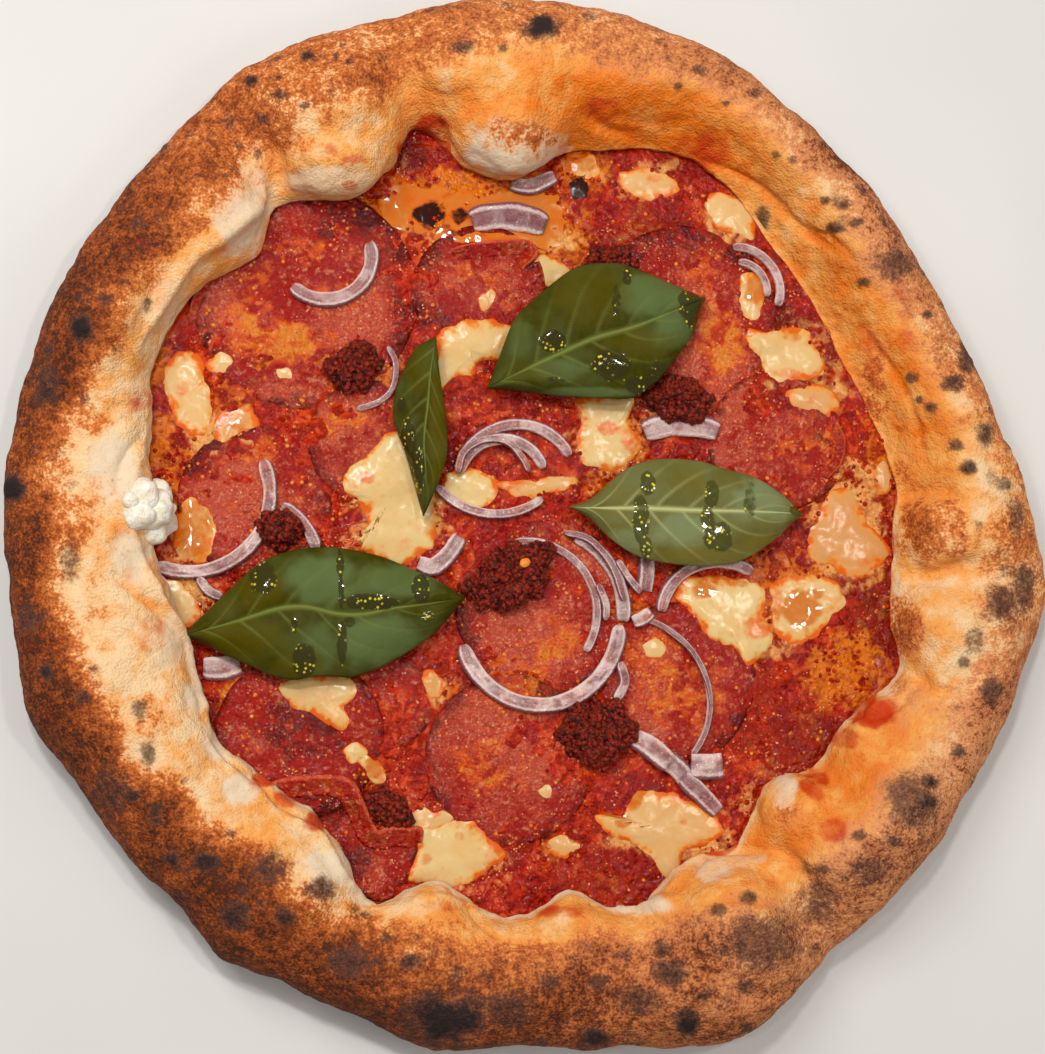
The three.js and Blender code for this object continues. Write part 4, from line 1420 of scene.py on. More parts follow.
    def marks(self, grid: np.ndarray, shares: np.ndarray, creased: np.ndarray) -> dict[str, np.ndarray]:
        """Paint where the dough is brown, golden, pale, stained and charred.

        Args:
            grid: the shaped corners.
            shares: the arch share of each row.
            creased: the mask of the creases.

        Returns:
            The painted values by name.
        """
        ripple = Ripple(Seed.CRUST_MARKS)
        angles = np.degrees(np.arctan2(grid[..., 1], grid[..., 0])) % 360
        seen = CAMERA.project(grid)
        reach = np.hypot(seen[..., 0] - CAMERA.middle[0], seen[..., 1] - CAMERA.middle[1])
        share = np.broadcast_to(shares[:, None], reach.shape)
        limit = round_table(angles, self.brown_round)
        wave = ripple.layers(grid, 20.0, 4)
        band = soft_step(reach - limit + 22 * wave, -34, 36)
        band = np.where(share < 0.12, 1.0, band)
        band = np.where(share > 0.92, np.minimum(band, 0.2), band)
        brown = band * (round_table(angles, self.depth_round) + 0.14 * wave)
        brown = np.where((share == 0) & (grid[..., 2] < 1), 0.62 + 0.2 * wave, brown)
        gold = round_table(angles, self.gold_round) * (0.45 + 0.75 * soft_step(share, 0.35, 0.62))
        torn = round_table(angles, self.torn_round)
        gold *= 1 - 0.75 * soft_step(share, 0.9, 0.99) * torn
        gold += 0.2 * creased + 0.12 * wave
        tan = round_table(angles, self.tan_round) * soft_step(reach, 380, 440)
        toast = spots_mask(grid, self.toasts, ripple, 0.5, seen, (0.2, 1.3))
        brown = np.where(share > 0.12, np.maximum(brown, toast * (0.85 + 0.3 * wave)), brown)
        stain = spots_mask(grid, self.stains, ripple, 0.35, seen)
        stain = np.maximum(stain, 0.8 * soft_step(share, 0.985, 1.0))
        raw = spots_mask(grid, self.crumbs, ripple, 0.3, seen)
        raw = np.maximum(raw, soft_step(share, 0.86, 0.97) * np.clip(torn, 0, 0.75))
        raw *= 1 - stain
        above = (share > 0) & (share < 0.95)
        char = np.where(above, spots_mask(grid, self.spots, ripple, 0.34, seen, (0.3, 1.4)), 0)
        dice = np.random.default_rng(Seed.CHAR_DOTS)
        low, high = grid.reshape(-1, 3), (band * above).ravel()
        chosen = dice.choice(len(low), self.char_dots, replace=False, p=high / high.sum())
        for number in chosen:
            size, dark = dice.uniform(0.9, 3.4), dice.uniform(0.12, 0.42)
            away = np.linalg.norm(grid - low[number], axis=-1) / size
            char = np.maximum(char, dark * (1 - soft_step(away + 0.3 * wave, 0.2, 1.3)))
        wall = ripple.layers(grid + 31, 14.0, 3)
        char = np.maximum(char, np.where(share == 0, 0.55 * soft_step(wall, 0.15, 0.6), 0))
        return {"brown": np.clip(brown, 0, 1), "gold": np.clip(gold, 0, 1), "tan": tan, "stain": stain,
                "raw": raw, "char": char}

    def build(self, dough: bpy.types.Material, box: tuple[Vector, Vector]) -> bpy.types.Object:
        """Make the crust.

        Args:
            dough: its finish.
            box: the corners of the space that it keeps to, in metres.

        Returns:
            The finished piece.
        """
        grid, shares, creased = self.shaped()
        marks = self.marks(grid, shares, creased)
        blister = np.clip(marks["char"] - 0.45, 0, 0.5) * 1.8
        grid = grid + self.outward(grid) * (blister * (shares[:, None] > 0))[..., None]
        low, high = np.array(box[0]) / MM, np.array(box[1]) / MM
        grid = np.clip(grid, low + 0.02, high - 0.02)
        grid[..., 2] = np.maximum(grid[..., 2], 0.0)
        ends = np.array([[0, 0, 0.0], [0, 0, self.base_top]])
        points = np.vstack([grid.reshape(-1, 3), ends])
        painted = {k: np.concatenate([v.ravel(), v[0, :1], v[-1, :1]]) for k, v in marks.items()}
        return mesh_piece("puffed_crust", points, tube_faces(*grid.shape[:2]), painted, dough)


# ---------------------------------------------------------------------------------------------------------
# Sauce and salami
# ---------------------------------------------------------------------------------------------------------


def closed_outline(pixels: Pixels) -> tuple[np.ndarray, np.ndarray, np.ndarray]:
    """Turn a ring of pixels into an outline seen from its middle.

    Args:
        pixels: the corners of the outline, in order.

    Returns:
        The middle, and the angles and radii of the outline round it.
    """
    ring = list(pixels)
    line = smooth_line([*ring, ring[0]], 160)[:-1]
    places = line_on(line, TOPPING_HEIGHT)
    middle = places.mean(axis=0)
    away = places - middle
    angle = np.degrees(np.arctan2(away[:, 1], away[:, 0])) % 360
    order = np.argsort(angle)
    return middle, angle[order], np.linalg.norm(away, axis=1)[order]


@dataclass
class SalamiSlice:
    """One slice: its middle, its radius, where its edge curls up or shows its skin, and its painted
    highlight.
    """

    number: int
    x: float
    y: float
    radius: float
    skin: tuple[float, float] = (0.0, 0.0)
    curls: Bulges = ()
    lit: tuple[float, float] = (0.0, 0.0)
    outline: Pixels = ()
    thickness: float = 1.4

    def build(self, bed: Bed, meat: bpy.types.Material, oily: Sequence[tuple], deep: Sequence[tuple],
              dusty: Sequence[tuple]) -> bpy.types.Object:
        """Lay the slice on the bed.

        Args:
            bed: what lies there already; the slice is added to it.
            meat: the slice's finish.
            oily: spots of orange oil, in pixels.
            deep: spots that are painted darker, partly as painted shade, in pixels.
            dusty: spots that are pink and dry, in pixels.

        Returns:
            The finished piece.
        """
        ripple = Ripple(Seed.SALAMI + self.number)
        share, angle = disc_grid(max(24, int(self.radius * 2 / 0.95)))
        way = headings(angle)
        middle, reach = np.array([self.x, self.y]), np.full_like(angle, self.radius)
        if self.outline:
            middle, at, radii = closed_outline(self.outline)
            reach = np.interp(angle, at, radii, period=360)
        spin = np.stack([way[..., 0] * 14, way[..., 1] * 14, np.full_like(angle, self.number)], axis=-1)
        reach = reach * (1 + 0.035 * ripple.layers(spin, 9.0, 3))
        place = middle + way * (reach * share)[..., None]
        x, y = place[..., 0], place[..., 1]
        base = np.maximum(bed.at(x, y, bed.softened(5.0)), bed.at(x, y, bed.softened(1.8)) - 0.25)
        lift = (0.35 + 0.5 * ripple.at(spin + 40, 10.0)) * share**4 + bulge_at(angle, self.curls) * share**5
        sag = 0.35 * ripple.flat(x, y, 11.0, 2, 3.0)
        under = base + np.maximum(lift, -0.3) + sag
        top = under + self.thickness * (1 - 0.75 * share**12) + 0.1 * ripple.flat(x, y, 2.2, 1, 9.0)
        grid = np.stack([x, y, top], axis=-1)
        low = np.stack([x, y, under], axis=-1)
        # Along the lit arc the edge gets a painted highlight.
        skin, lit = (((angle - start) % 360) < ((end - start) % 360) for start, end in (self.skin, self.lit))
        marks = {"rim": share * np.where(skin, 1.0, 0.86),
                 "oily": spots_mask(grid, oily, ripple, 0.5),
                 "deep": spots_mask(grid, deep, ripple, 0.4),
                 "dusty": spots_mask(grid, dusty, ripple, 0.4),
                 "lit": np.where(lit, soft_step(share, 0.955, 0.985), 0.0)}
        bed.lay(grid)
        return slab_piece(f"salami_slice_{self.number}", grid, low, marks, meat)


@dataclass
class SalamiLayer:
    """All the slices of salami, from the lowest up."""

    slices: Sequence[SalamiSlice] = (
        SalamiSlice(1, -67, 63, 33, skin=(350, 160), curls=((60, 60, 0.8), (150, 30, 1.0))),
        SalamiSlice(2, 45, 58, 29, skin=(20, 60)),
        SalamiSlice(3, -81, 2.5, 22, skin=(90, 160)),
        SalamiSlice(4, 3, -28, 26, skin=(170, 210)),
        SalamiSlice(5, -43, -54.5, 14),
        SalamiSlice(7, 73, 22.5, 21, skin=(0, 40)),
        SalamiSlice(8, -48, 20.5, 18, skin=(300, 350)),
        SalamiSlice(9, -16, 65.5, 20, skin=(20, 160), curls=((70, 50, 1.6), (20, 30, 1.2)), lit=(10, 60)),
        SalamiSlice(10, 42.5, -48.5, 23, skin=(300, 340)),
        SalamiSlice(11, -7, -71.5, 24.5, skin=(30, 70), curls=((75, 25, 1.2),)),
        SalamiSlice(6, -58.5, -88.5, 22, curls=((60, 70, 2.2), (150, 40, 1.8)), lit=(350, 165), outline=(
            (264, 784), (290, 779), (325, 777), (345, 779), (356, 790), (366, 812), (375, 830), (390, 825),
            (406, 828), (420, 826), (421, 845), (413, 874), (398, 896), (372, 900), (345, 880), (318, 850),
            (290, 822))),
        SalamiSlice(12, -67, -64.5, 24, skin=(200, 330), curls=((20, 40, 0.8),)),
    )
    oily: Rows = (
        (285, 345, 50, 24, 0.9), (240, 330, 20, 40, 0.7), (330, 300, 30, 20, 0.6), (255, 450, 40, 16, 0.7),
        (330, 420, 60, 16, 0.7), (530, 690, 40, 30, 0.8), (560, 640, 26, 26, 0.7), (700, 300, 20, 60, 0.6),
        (820, 440, 50, 30, 0.6), (650, 650, 40, 30, 0.6), (395, 800, 30, 40, 0.8), (600, 520, 60, 40, 0.6),
        (480, 760, 40, 30, 0.6), (450, 600, 30, 30, 0.5), (700, 700, 30, 40, 0.5), (720, 345, 30, 40, 0.8),
        (660, 690, 34, 34, 0.7), (250, 285, 26, 26, 0.6), (470, 280, 40, 20, 0.5), (300, 250, 40, 14, 0.4))
    # Spots painted darker, partly as painted shade.
    deep: Rows = (
        (345, 225, 50, 20, 0.7), (205, 355, 16, 26, 0.8), (540, 250, 24, 12, 0.6), (430, 320, 26, 20, 0.5),
        (300, 730, 50, 40, 0.55), (330, 800, 50, 30, 0.5), (350, 860, 26, 30, 0.7), (330, 500, 20, 20, 0.4),
        (830, 430, 26, 20, 0.5), (560, 240, 60, 20, 0.4), (660, 240, 60, 30, 0.5))
    dusty: Rows = (
        (350, 320, 50, 40, 0.9), (225, 320, 30, 40, 0.5), (290, 400, 40, 20, 0.9), (340, 425, 50, 24, 0.8),
        (240, 500, 50, 44, 0.9), (255, 470, 30, 16, 0.8), (530, 650, 60, 50, 0.7), (600, 560, 30, 50, 0.6),
        (690, 330, 30, 70, 0.7), (730, 390, 30, 60, 0.8), (690, 460, 60, 20, 0.7), (380, 450, 30, 40, 0.5),
        (480, 730, 60, 40, 0.7), (530, 740, 30, 60, 0.6), (650, 700, 30, 50, 0.6), (660, 660, 30, 30, 0.5),
        (480, 285, 40, 30, 0.5), (450, 580, 20, 30, 0.7), (370, 880, 20, 26, 0.7), (400, 700, 30, 16, 0.5),
        (280, 860, 30, 30, 0.3), (310, 790, 50, 8, 0.6), (560, 620, 30, 30, 0.5), (200, 330, 16, 30, 0.5))

    def build(self, bed: Bed, meat: bpy.types.Material) -> np.ndarray:
        """Lay every slice.

        Args:
            bed: what lies there already.
            meat: the slices' finish.

        Returns:
            The cells that the slices cover, as 0 or 1.
        """
        before = bed.top.copy()
        for one in self.slices:
            piece = one.build(bed, meat, self.oily, self.deep, self.dusty)
            settle(piece, "salami", f"salami_{one.number}")
        return (bed.top > before + 0.2).astype(float)


@dataclass
class TomatoSauce:
    """The sauce: a lumpy wet layer that the slices lie in and that runs over their edges."""

    mesh_count: int = 300
    under: float = 4.32
    level: float = 5.7
    # Spots in pixels, with their radii across and down and their strength.
    runs: Rows = (
        (215, 400, 34, 40, 0.5), (300, 432, 34, 20, 0.5), (330, 540, 36, 26, 0.5), (470, 400, 40, 24, 0.6),
        (520, 425, 40, 14, 0.5), (430, 700, 22, 18, 0.4), (500, 655, 30, 14, 0.5), (770, 400, 30, 30, 0.4),
        (850, 440, 26, 40, 0.5), (700, 600, 16, 50, 0.4), (600, 760, 50, 30, 0.5), (250, 250, 20, 40, 0.3),
        (405, 250, 16, 50, 0.4), (565, 500, 30, 20, 0.4), (560, 740, 60, 20, 0.5), (400, 740, 20, 50, 0.4),
        (230, 470, 24, 30, 0.3), (430, 350, 14, 30, 0.5), (640, 500, 30, 20, 0.4))
    bare: Rows = (
        (305, 290, 70, 60, 0.35), (250, 500, 40, 40, 0.3), (530, 640, 50, 40, 0.35), (700, 350, 50, 60, 0.3),
        (770, 440, 40, 36, 0.25), (680, 680, 46, 50, 0.3), (370, 440, 36, 36, 0.25), (290, 735, 50, 40, 0.35),
        (480, 290, 44, 36, 0.35), (340, 830, 60, 50, 0.5), (490, 760, 50, 50, 0.3))
    oily: Rows = (
        (470, 208, 110, 46, 1.0), (585, 168, 30, 40, 0.8), (560, 240, 44, 26, 0.8), (150, 360, 26, 40, 0.8),
        (160, 440, 30, 40, 0.7), (165, 500, 22, 40, 0.6), (300, 372, 60, 26, 0.9), (225, 400, 26, 30, 0.5),
        (845, 672, 52, 44, 0.85), (722, 690, 22, 44, 0.95), (790, 590, 56, 44, 0.6), (640, 620, 40, 24, 0.6),
        (236, 705, 18, 36, 0.7), (870, 570, 26, 20, 0.5), (880, 470, 30, 60, 0.6), (820, 470, 44, 50, 0.4),
        (420, 450, 30, 30, 0.5), (625, 440, 30, 30, 0.6), (455, 690, 30, 20, 0.4), (520, 665, 40, 20, 0.5),
        (185, 480, 30, 60, 0.5), (380, 375, 30, 30, 0.7), (360, 770, 22, 30, 0.6), (820, 500, 30, 20, 0.5),
        (555, 850, 20, 14, 0.6), (760, 560, 60, 16, 0.5), (640, 250, 20, 60, 0.2), (600, 480, 30, 16, 0.5))
    cream: Rows = (
        (650, 842, 60, 20, 0.6), (706, 848, 36, 28, 0.7), (545, 240, 50, 16, 0.7), (195, 600, 26, 30, 0.7),
        (850, 520, 46, 70, 0.6), (770, 640, 40, 30, 0.5), (800, 350, 50, 50, 0.5), (205, 430, 40, 24, 0.7),
        (395, 500, 60, 70, 0.5), (610, 440, 46, 50, 0.5), (460, 855, 60, 40, 0.5), (318, 700, 56, 34, 0.5),
        (185, 530, 30, 44, 0.6), (650, 182, 44, 22, 0.5), (735, 215, 34, 34, 0.5),
        (490, 292, 22, 22, 0.4), (640, 640, 30, 20, 0.4), (240, 425, 26, 20, 0.5), (840, 560, 50, 40, 0.4),
        (820, 395, 40, 24, 0.5), (620, 420, 50, 30, 0.4), (565, 845, 16, 10, 0.7), (440, 690, 16, 14, 0.6),
        (740, 800, 30, 24, 0.4), (870, 480, 20, 30, 0.4), (630, 110, 20, 30, 0.2), (450, 235, 50, 12, 0.4))
    deep: Rows = (
        (620, 875, 80, 34, 0.35), (880, 622, 34, 52, 0.6), (700, 152, 60, 30, 0.5), (775, 320, 34, 16, 0.8),
        (855, 590, 34, 14, 0.6), (800, 745, 60, 50, 0.5), (226, 725, 22, 40, 0.7), (360, 870, 44, 44, 0.7),
        (410, 156, 24, 18, 1.0), (600, 230, 60, 26, 0.3), (655, 240, 60, 40, 0.5), (830, 355, 12, 26, 0.6),
        (460, 320, 30, 20, 0.4), (800, 380, 40, 14, 0.6), (240, 770, 20, 30, 0.5), (760, 690, 20, 30, 0.4))
    scorch: Rows = (
        (428, 213, 18, 14, 1.0), (460, 215, 10, 8, 0.9), (581, 188, 12, 12, 1.0), (447, 196, 8, 5, 0.7),
        (450, 232, 8, 5, 0.6))

    def first_bed(self, bed: Bed) -> None:
        """Set the level that the slices are laid on."""
        ripple = Ripple(Seed.SAUCE_BED)
        bed.top[:] = (self.level + 0.55 * ripple.flat(bed.x, bed.y, 16.0, 2)
                      + 0.22 * ripple.flat(bed.x, bed.y, 5.0, 2, 7.0))

    def build(self, bed: Bed, covered: np.ndarray, crust: PuffedCrust, sauce: bpy.types.Material
              ) -> bpy.types.Object:
        """Pour the sauce between and over the slices.

        Args:
            bed: what lies there already; the sauce is added to it.
            covered: the cells that have a slice.
            crust: the rim that the sauce reaches.
            sauce: the sauce's finish.

        Returns:
            The finished piece.
        """
        ripple = Ripple(Seed.SAUCE_FILM)
        share, angle = disc_grid(self.mesh_count)
        way = headings(angle)
        reach = crust.inner_radius + bulge_at(angle, crust.inner_flaps) + 2.6
        place = way * (reach * share)[..., None]
        x, y = place[..., 0], place[..., 1]
        flat = np.stack([x, y, np.full_like(x, 7.0)], axis=-1)
        seen = CAMERA.project(flat)
        meat = bed.at(x, y, bed.softened(1.5, covered))
        film = (0.5 * ripple.flat(x, y, 8.0, 3) + 0.15 * ripple.flat(x, y, 2.6, 2, 4.0)
                + 0.35 - 0.55 * meat + 0.9 * spots_mask(flat, self.runs, ripple, 0.4, seen)
                - 0.8 * spots_mask(flat, self.bare, ripple, 0.4, seen))
        level = bed.at(x, y, bed.softened(1.5)) + film
        level = np.maximum(level, self.under + 0.8)
        grid = np.stack([x, y, level], axis=-1)
        size = self.mesh_count
        loop = border(size, size)
        foot = grid.reshape(-1, 3)[loop].copy()
        foot[:, 2] = self.under
        points = np.vstack([grid.reshape(-1, 3), foot, [[0, 0, self.under]]])
        ring = np.arange(len(loop)) + size * size
        ahead = np.roll(np.arange(len(loop)), -1)
        faces = grid_faces(size, size)
        faces += np.stack([loop, ring, ring[ahead], loop[ahead]], axis=-1).tolist()
        faces += np.stack([ring, np.full_like(ring, len(points) - 1), ring[ahead]], axis=-1).tolist()
        marks = {}
        for label in ("oily", "cream", "deep", "scorch"):
            mask = spots_mask(flat, getattr(self, label), ripple, 0.5, seen).ravel()
            marks[label] = np.concatenate([mask, np.zeros(len(loop) + 1)])
        bed.lay(grid)
        return mesh_piece("tomato_sauce_pour", points, faces, marks, sauce)


# ---------------------------------------------------------------------------------------------------------
# Cheese
# ---------------------------------------------------------------------------------------------------------


@dataclass
class CheesePatch:
    """One melted patch: its outline in pixels, its thickness and its marks."""

    name: str
    outline: Pixels
    height: float = 1.9
    peach: float = 0.0
    oil: Rows = ()
    stain: Rows = ()
    burn: Rows = ()
    node: str = ""

    def build(self, bed: Bed, seed: int, cheese: bpy.types.Material) -> bpy.types.Object:
        """Melt the patch over the bed.

        Args:
            bed: what lies there already; the patch is added to it.
            seed: the seed of its uneven edge.
            cheese: the patch's finish.

        Returns:
            The finished piece.
        """
        ripple = Ripple(seed)
        middle, at, radii = closed_outline(self.outline)
        share, angle = disc_grid(max(18, int(radii.mean() * 2 / 0.6)))
        way = headings(angle)
        reach = np.interp(angle, at, radii, period=360) + 0.9
        spin = np.concatenate([way * reach[..., None], np.zeros((*angle.shape, 1))], axis=-1)
        wave = np.minimum(0.14 * reach, 1.6) * ripple.layers(spin, 6.0, 3)
        reach = reach + wave + 0.14 * ripple.at(spin, 1.8)
        place = middle + way * (reach * share)[..., None]
        x, y = place[..., 0], place[..., 1]
        base = bed.at(x, y, bed.softened(2.4))
        inward = (1 - share) * reach
        dome = self.height * (0.22 * soft_step(inward, -0.6, 2.0) + 0.26 * soft_step(inward, 0.2, 6.0))
        top = base + dome - 0.22 + 0.2 * ripple.flat(x, y, 5.0, 2) * soft_step(inward, 0, 3)
        grid = np.stack([x, y, top], axis=-1)
        low = np.stack([x, y, base - 0.95], axis=-1)
        marks = {"rim": np.clip(1 - inward / min(5.0, 0.9 * radii.mean()), 0, 1),
                 "peach": np.full_like(share, self.peach)}
        for label in ("oil", "stain", "burn"):
            marks[label] = spots_mask(grid, getattr(self, label), ripple, 0.45)
        bed.lay(grid)
        return slab_piece(self.name, grid, low, marks, cheese)


@dataclass
class CheeseLayer:
    """All the patches of mozzarella."""

    patches: Sequence[CheesePatch] = (
        CheesePatch("cheese_under_tall_leaf", (
            (343, 475), (370, 451), (393, 430), (418, 438), (430, 470), (434, 522), (430, 547), (402, 562),
            (372, 554), (356, 541), (369, 532), (370, 522), (361, 499), (343, 491)), 2.3, 0.05,
            stain=((366, 478, 12, 8, 0.7), (352, 480, 8, 14, 0.4), (405, 545, 12, 8, 0.3)),
            node="mozzarella_1"),
        CheesePatch("cheese_left_of_broad_leaf", (
            (438, 335), (449, 327), (480, 318), (513, 326), (508, 345), (500, 356), (478, 358), (474, 369),
            (453, 377), (439, 386)), 2.0, 0.1, node="mozzarella_2"),
        CheesePatch("cheese_below_broad_leaf", (
            (578, 400), (632, 396), (629, 420), (641, 436), (635, 455), (612, 468), (588, 464), (579, 442),
            (584, 420)), 2.0, 0.05, stain=((606, 428, 12, 8, 0.8), (630, 440, 12, 20, 0.6)),
            node="mozzarella_3"),
        CheesePatch("cheese_in_onion_ring", (
            (447, 474), (472, 467), (493, 476), (499, 488), (488, 503), (470, 507), (449, 491)), 1.9,
            node="mozzarella_4"),
        CheesePatch("cheese_right_of_ring", (
            (497, 481), (526, 479), (573, 475), (571, 487), (545, 493), (515, 496)), 1.2, 0.5,
            stain=((515, 482, 16, 8, 0.7),)),
        CheesePatch("cheese_by_right_rim", (
            (750, 327), (771, 331), (809, 326), (813, 341), (824, 362), (818, 374), (800, 380), (775, 378),
            (764, 358), (752, 343)), 2.1, 0.15, stain=((790, 374, 26, 8, 0.6),),
            oil=((792, 336, 10, 6, 0.6),), node="mozzarella_5"),
        CheesePatch("cheese_top_right", (
            (712, 193), (725, 190), (739, 198), (753, 205), (756, 237), (741, 230), (720, 223),
            (711, 208)), 2.0, 0.3, node="mozzarella_6"),
        CheesePatch("cheese_yellow_strip", (
            (741, 274), (752, 271), (765, 284), (762, 312), (752, 318), (744, 306)), 1.8, 0.3,
            oil=((755, 292, 12, 18, 0.9),), node="mozzarella_7"),
        CheesePatch("cheese_near_top_rim", (
            (622, 170), (651, 167), (682, 182), (669, 195), (640, 194), (625, 184)), 1.5, 0.4,
            stain=((655, 178, 10, 6, 0.6), (672, 186, 8, 6, 0.5)), node="mozzarella_8"),
        CheesePatch("cheese_by_left_rim", (
            (168, 359), (184, 349), (198, 354), (204, 376), (210, 411), (202, 434), (178, 423), (170, 401),
            (164, 376)), 2.1, 0.2, stain=((182, 390, 10, 10, 0.55), (172, 410, 8, 16, 0.5)),
            node="mozzarella_9"),
        CheesePatch("cheese_left_crumb", ((207, 364), (220, 350), (234, 359), (229, 368), (214, 370)), 1.3,
                    0.25),
        CheesePatch("cheese_big_right", (
            (679, 597), (688, 578), (716, 576), (748, 582), (763, 587), (765, 619), (778, 638), (760, 655),
            (748, 664), (737, 649), (714, 637), (700, 620)), 2.4, 0.0,
            oil=((703, 591, 14, 9, 0.8), (742, 584, 8, 5, 0.7)), stain=((757, 630, 16, 14, 0.7),),
            node="mozzarella_10"),
        CheesePatch("cheese_oily_right", (
            (773, 585), (800, 576), (832, 580), (848, 600), (829, 624), (811, 639), (796, 643), (779, 632),
            (776, 608)), 1.7, 0.2, oil=((800, 610, 24, 22, 0.95), (815, 594, 12, 8, 0.7)),
            stain=((778, 600, 6, 26, 0.6),), node="mozzarella_11"),
        CheesePatch("cheese_far_right", (
            (832, 492), (853, 489), (864, 511), (881, 535), (892, 553), (864, 576), (842, 569), (813, 554),
            (812, 528), (821, 518)), 1.7, 0.75, stain=((868, 560, 16, 12, 0.4), (835, 520, 5, 4, 0.6)),
            node="mozzarella_12"),
        CheesePatch("cheese_bottom", (
            (424, 828), (440, 824), (468, 822), (483, 833), (503, 855), (490, 870), (468, 881), (442, 885),
            (412, 877), (420, 855)), 2.3, 0.05, oil=((428, 858, 8, 7, 0.7), (459, 836, 7, 6, 0.6)),
            stain=((494, 858, 12, 14, 0.5),), node="mozzarella_13"),
        CheesePatch("cheese_below_low_leaf", (
            (280, 688), (300, 676), (344, 676), (358, 690), (345, 707), (350, 722), (340, 729), (329, 723),
            (310, 712), (291, 704)), 2.0, 0.15, stain=((352, 722, 12, 10, 0.4),), node="mozzarella_14"),
        CheesePatch("cheese_white_bead", ((344, 751), (353, 745), (367, 749), (366, 757), (352, 761)), 1.6),
        CheesePatch("cheese_orange_tail", ((356, 758), (368, 756), (385, 772), (386, 782), (374, 780)), 1.3,
                    oil=((374, 770, 12, 14, 0.9),), stain=((380, 778, 8, 8, 0.6),)),
        CheesePatch("cheese_low_right", (
            (640, 790), (666, 794), (692, 801), (712, 812), (726, 829), (710, 843), (686, 854), (678, 888),
            (658, 866), (642, 846), (612, 834), (598, 822), (602, 812), (622, 818), (632, 805)), 1.8, 0.35,
            oil=((634, 796, 10, 22, 0.9), (624, 822, 12, 10, 0.8)),
            stain=((700, 845, 16, 12, 0.4), (684, 822, 6, 5, 0.6)), node="mozzarella_15"),
        CheesePatch("cheese_orange_left", (
            (180, 501), (191, 496), (208, 511), (215, 530), (211, 554), (193, 563), (177, 554),
            (177, 526)), 1.6, 0.3, oil=((194, 528, 24, 38, 0.75),), stain=((206, 545, 10, 14, 0.5),),
            node="mozzarella_16"),
        CheesePatch("cheese_upper_right_strip", (
            (789, 389), (810, 385), (829, 389), (842, 406), (833, 416), (817, 409), (793, 404)), 1.3, 0.55,
            stain=((812, 400, 10, 5, 0.4),), node="mozzarella_17"),
        CheesePatch("cheese_scorched_top", (
            (384, 186), (420, 181), (470, 190), (520, 186), (560, 192), (566, 226), (552, 248), (520, 240),
            (470, 240), (430, 232), (398, 226), (384, 208)), 0.7, 0.6,
            oil=((470, 212, 130, 60, 1.0),),
            stain=((400, 200, 20, 20, 0.6), (500, 236, 30, 8, 0.5), (560, 220, 14, 22, 0.6),
                   (440, 236, 20, 8, 0.6)),
            burn=((428, 213, 20, 17, 1.0), (461, 215, 11, 10, 0.9), (447, 196, 9, 5, 0.6),
                  (452, 233, 9, 5, 0.6), (410, 200, 9, 5, 0.35), (478, 234, 10, 6, 0.4),
                  (440, 228, 14, 6, 0.5)),
            node="mozzarella_18"),
        CheesePatch("cheese_left_scrap", (
            (214, 427), (222, 413), (247, 408), (257, 424), (239, 431), (221, 442)), 1.1, 0.7,
            oil=((236, 424, 16, 10, 0.5),)),
        CheesePatch("cheese_above_leaf", ((537, 260), (548, 255), (570, 266), (552, 282), (539, 274)), 1.5,
                    0.1),
        CheesePatch("cheese_on_slice", ((480, 297), (492, 287), (497, 297), (485, 308)), 1.1, 0.5),
        CheesePatch("cheese_bead_middle", ((643, 645), (654, 639), (667, 646), (661, 657), (648, 655)), 1.4,
                    0.15),
        CheesePatch("cheese_left_edge", ((163, 581), (180, 583), (198, 612), (183, 628), (170, 606)), 1.3,
                    0.2),
        CheesePatch("cheese_bottom_bead", ((552, 842), (566, 838), (582, 846), (570, 856), (556, 852)), 1.1,
                    0.5),
        CheesePatch("cheese_mid_bead", ((420, 676), (434, 670), (443, 684), (436, 697), (424, 690)), 1.2,
                    0.6),
        CheesePatch("cheese_top_blot", ((574, 160), (592, 152), (600, 168), (590, 178), (577, 173)), 1.1, 0.3,
                    oil=((586, 165, 12, 10, 0.7),)),
        CheesePatch("cheese_red_bead", ((276, 368), (290, 366), (292, 378), (279, 378)), 1.0, 0.3),
        CheesePatch("cheese_low_bead", ((535, 790), (548, 784), (556, 792), (546, 799)), 1.0, 0.3),
        CheesePatch("cheese_above_bottom", ((405, 815), (425, 810), (450, 815), (446, 824), (420, 828)), 1.2,
                    0.4, stain=((436, 812, 8, 6, 0.6),)),
        CheesePatch("cheese_right_edge", ((878, 462), (888, 458), (894, 478), (888, 492), (880, 482)), 1.1,
                    0.6),
    )

    def build(self, bed: Bed, cheese: bpy.types.Material) -> None:
        """Melt every patch.

        Args:
            bed: what lies there already; the patches are added to it.
            cheese: the patches' finish.
        """
        for number, patch in enumerate(self.patches):
            piece = patch.build(bed, Seed.CHEESE + number, cheese)
            settle(piece, "mozzarella", *([patch.node] if patch.node else []))


@dataclass
class ScorchedDots:
    """The round dark blister of burnt cheese near the top rim."""

    pixel: tuple[float, float] = (581, 188)
    pixel_radius: float = 10.0
    height: float = 1.8

    def build(self, bed: Bed, cheese: bpy.types.Material) -> bpy.types.Object:
        """Set the blister on the bed.

        Args:
            bed: what lies there already; the blister is added to it.
            cheese: the blister's finish.

        Returns:
            The finished piece.
        """
        outline = [(self.pixel[0] + self.pixel_radius * math.cos(turn),
                    self.pixel[1] + self.pixel_radius * math.sin(turn)) for turn in np.linspace(0, 5.5, 8)]
        burn = ((*self.pixel, 22, 22, 1.0),)
        patch = CheesePatch("cheese_scorched_blister", outline, self.height, 0.2, burn=burn)
        return patch.build(bed, Seed.BLISTER, cheese)


# ---------------------------------------------------------------------------------------------------------
# Onion
# ---------------------------------------------------------------------------------------------------------


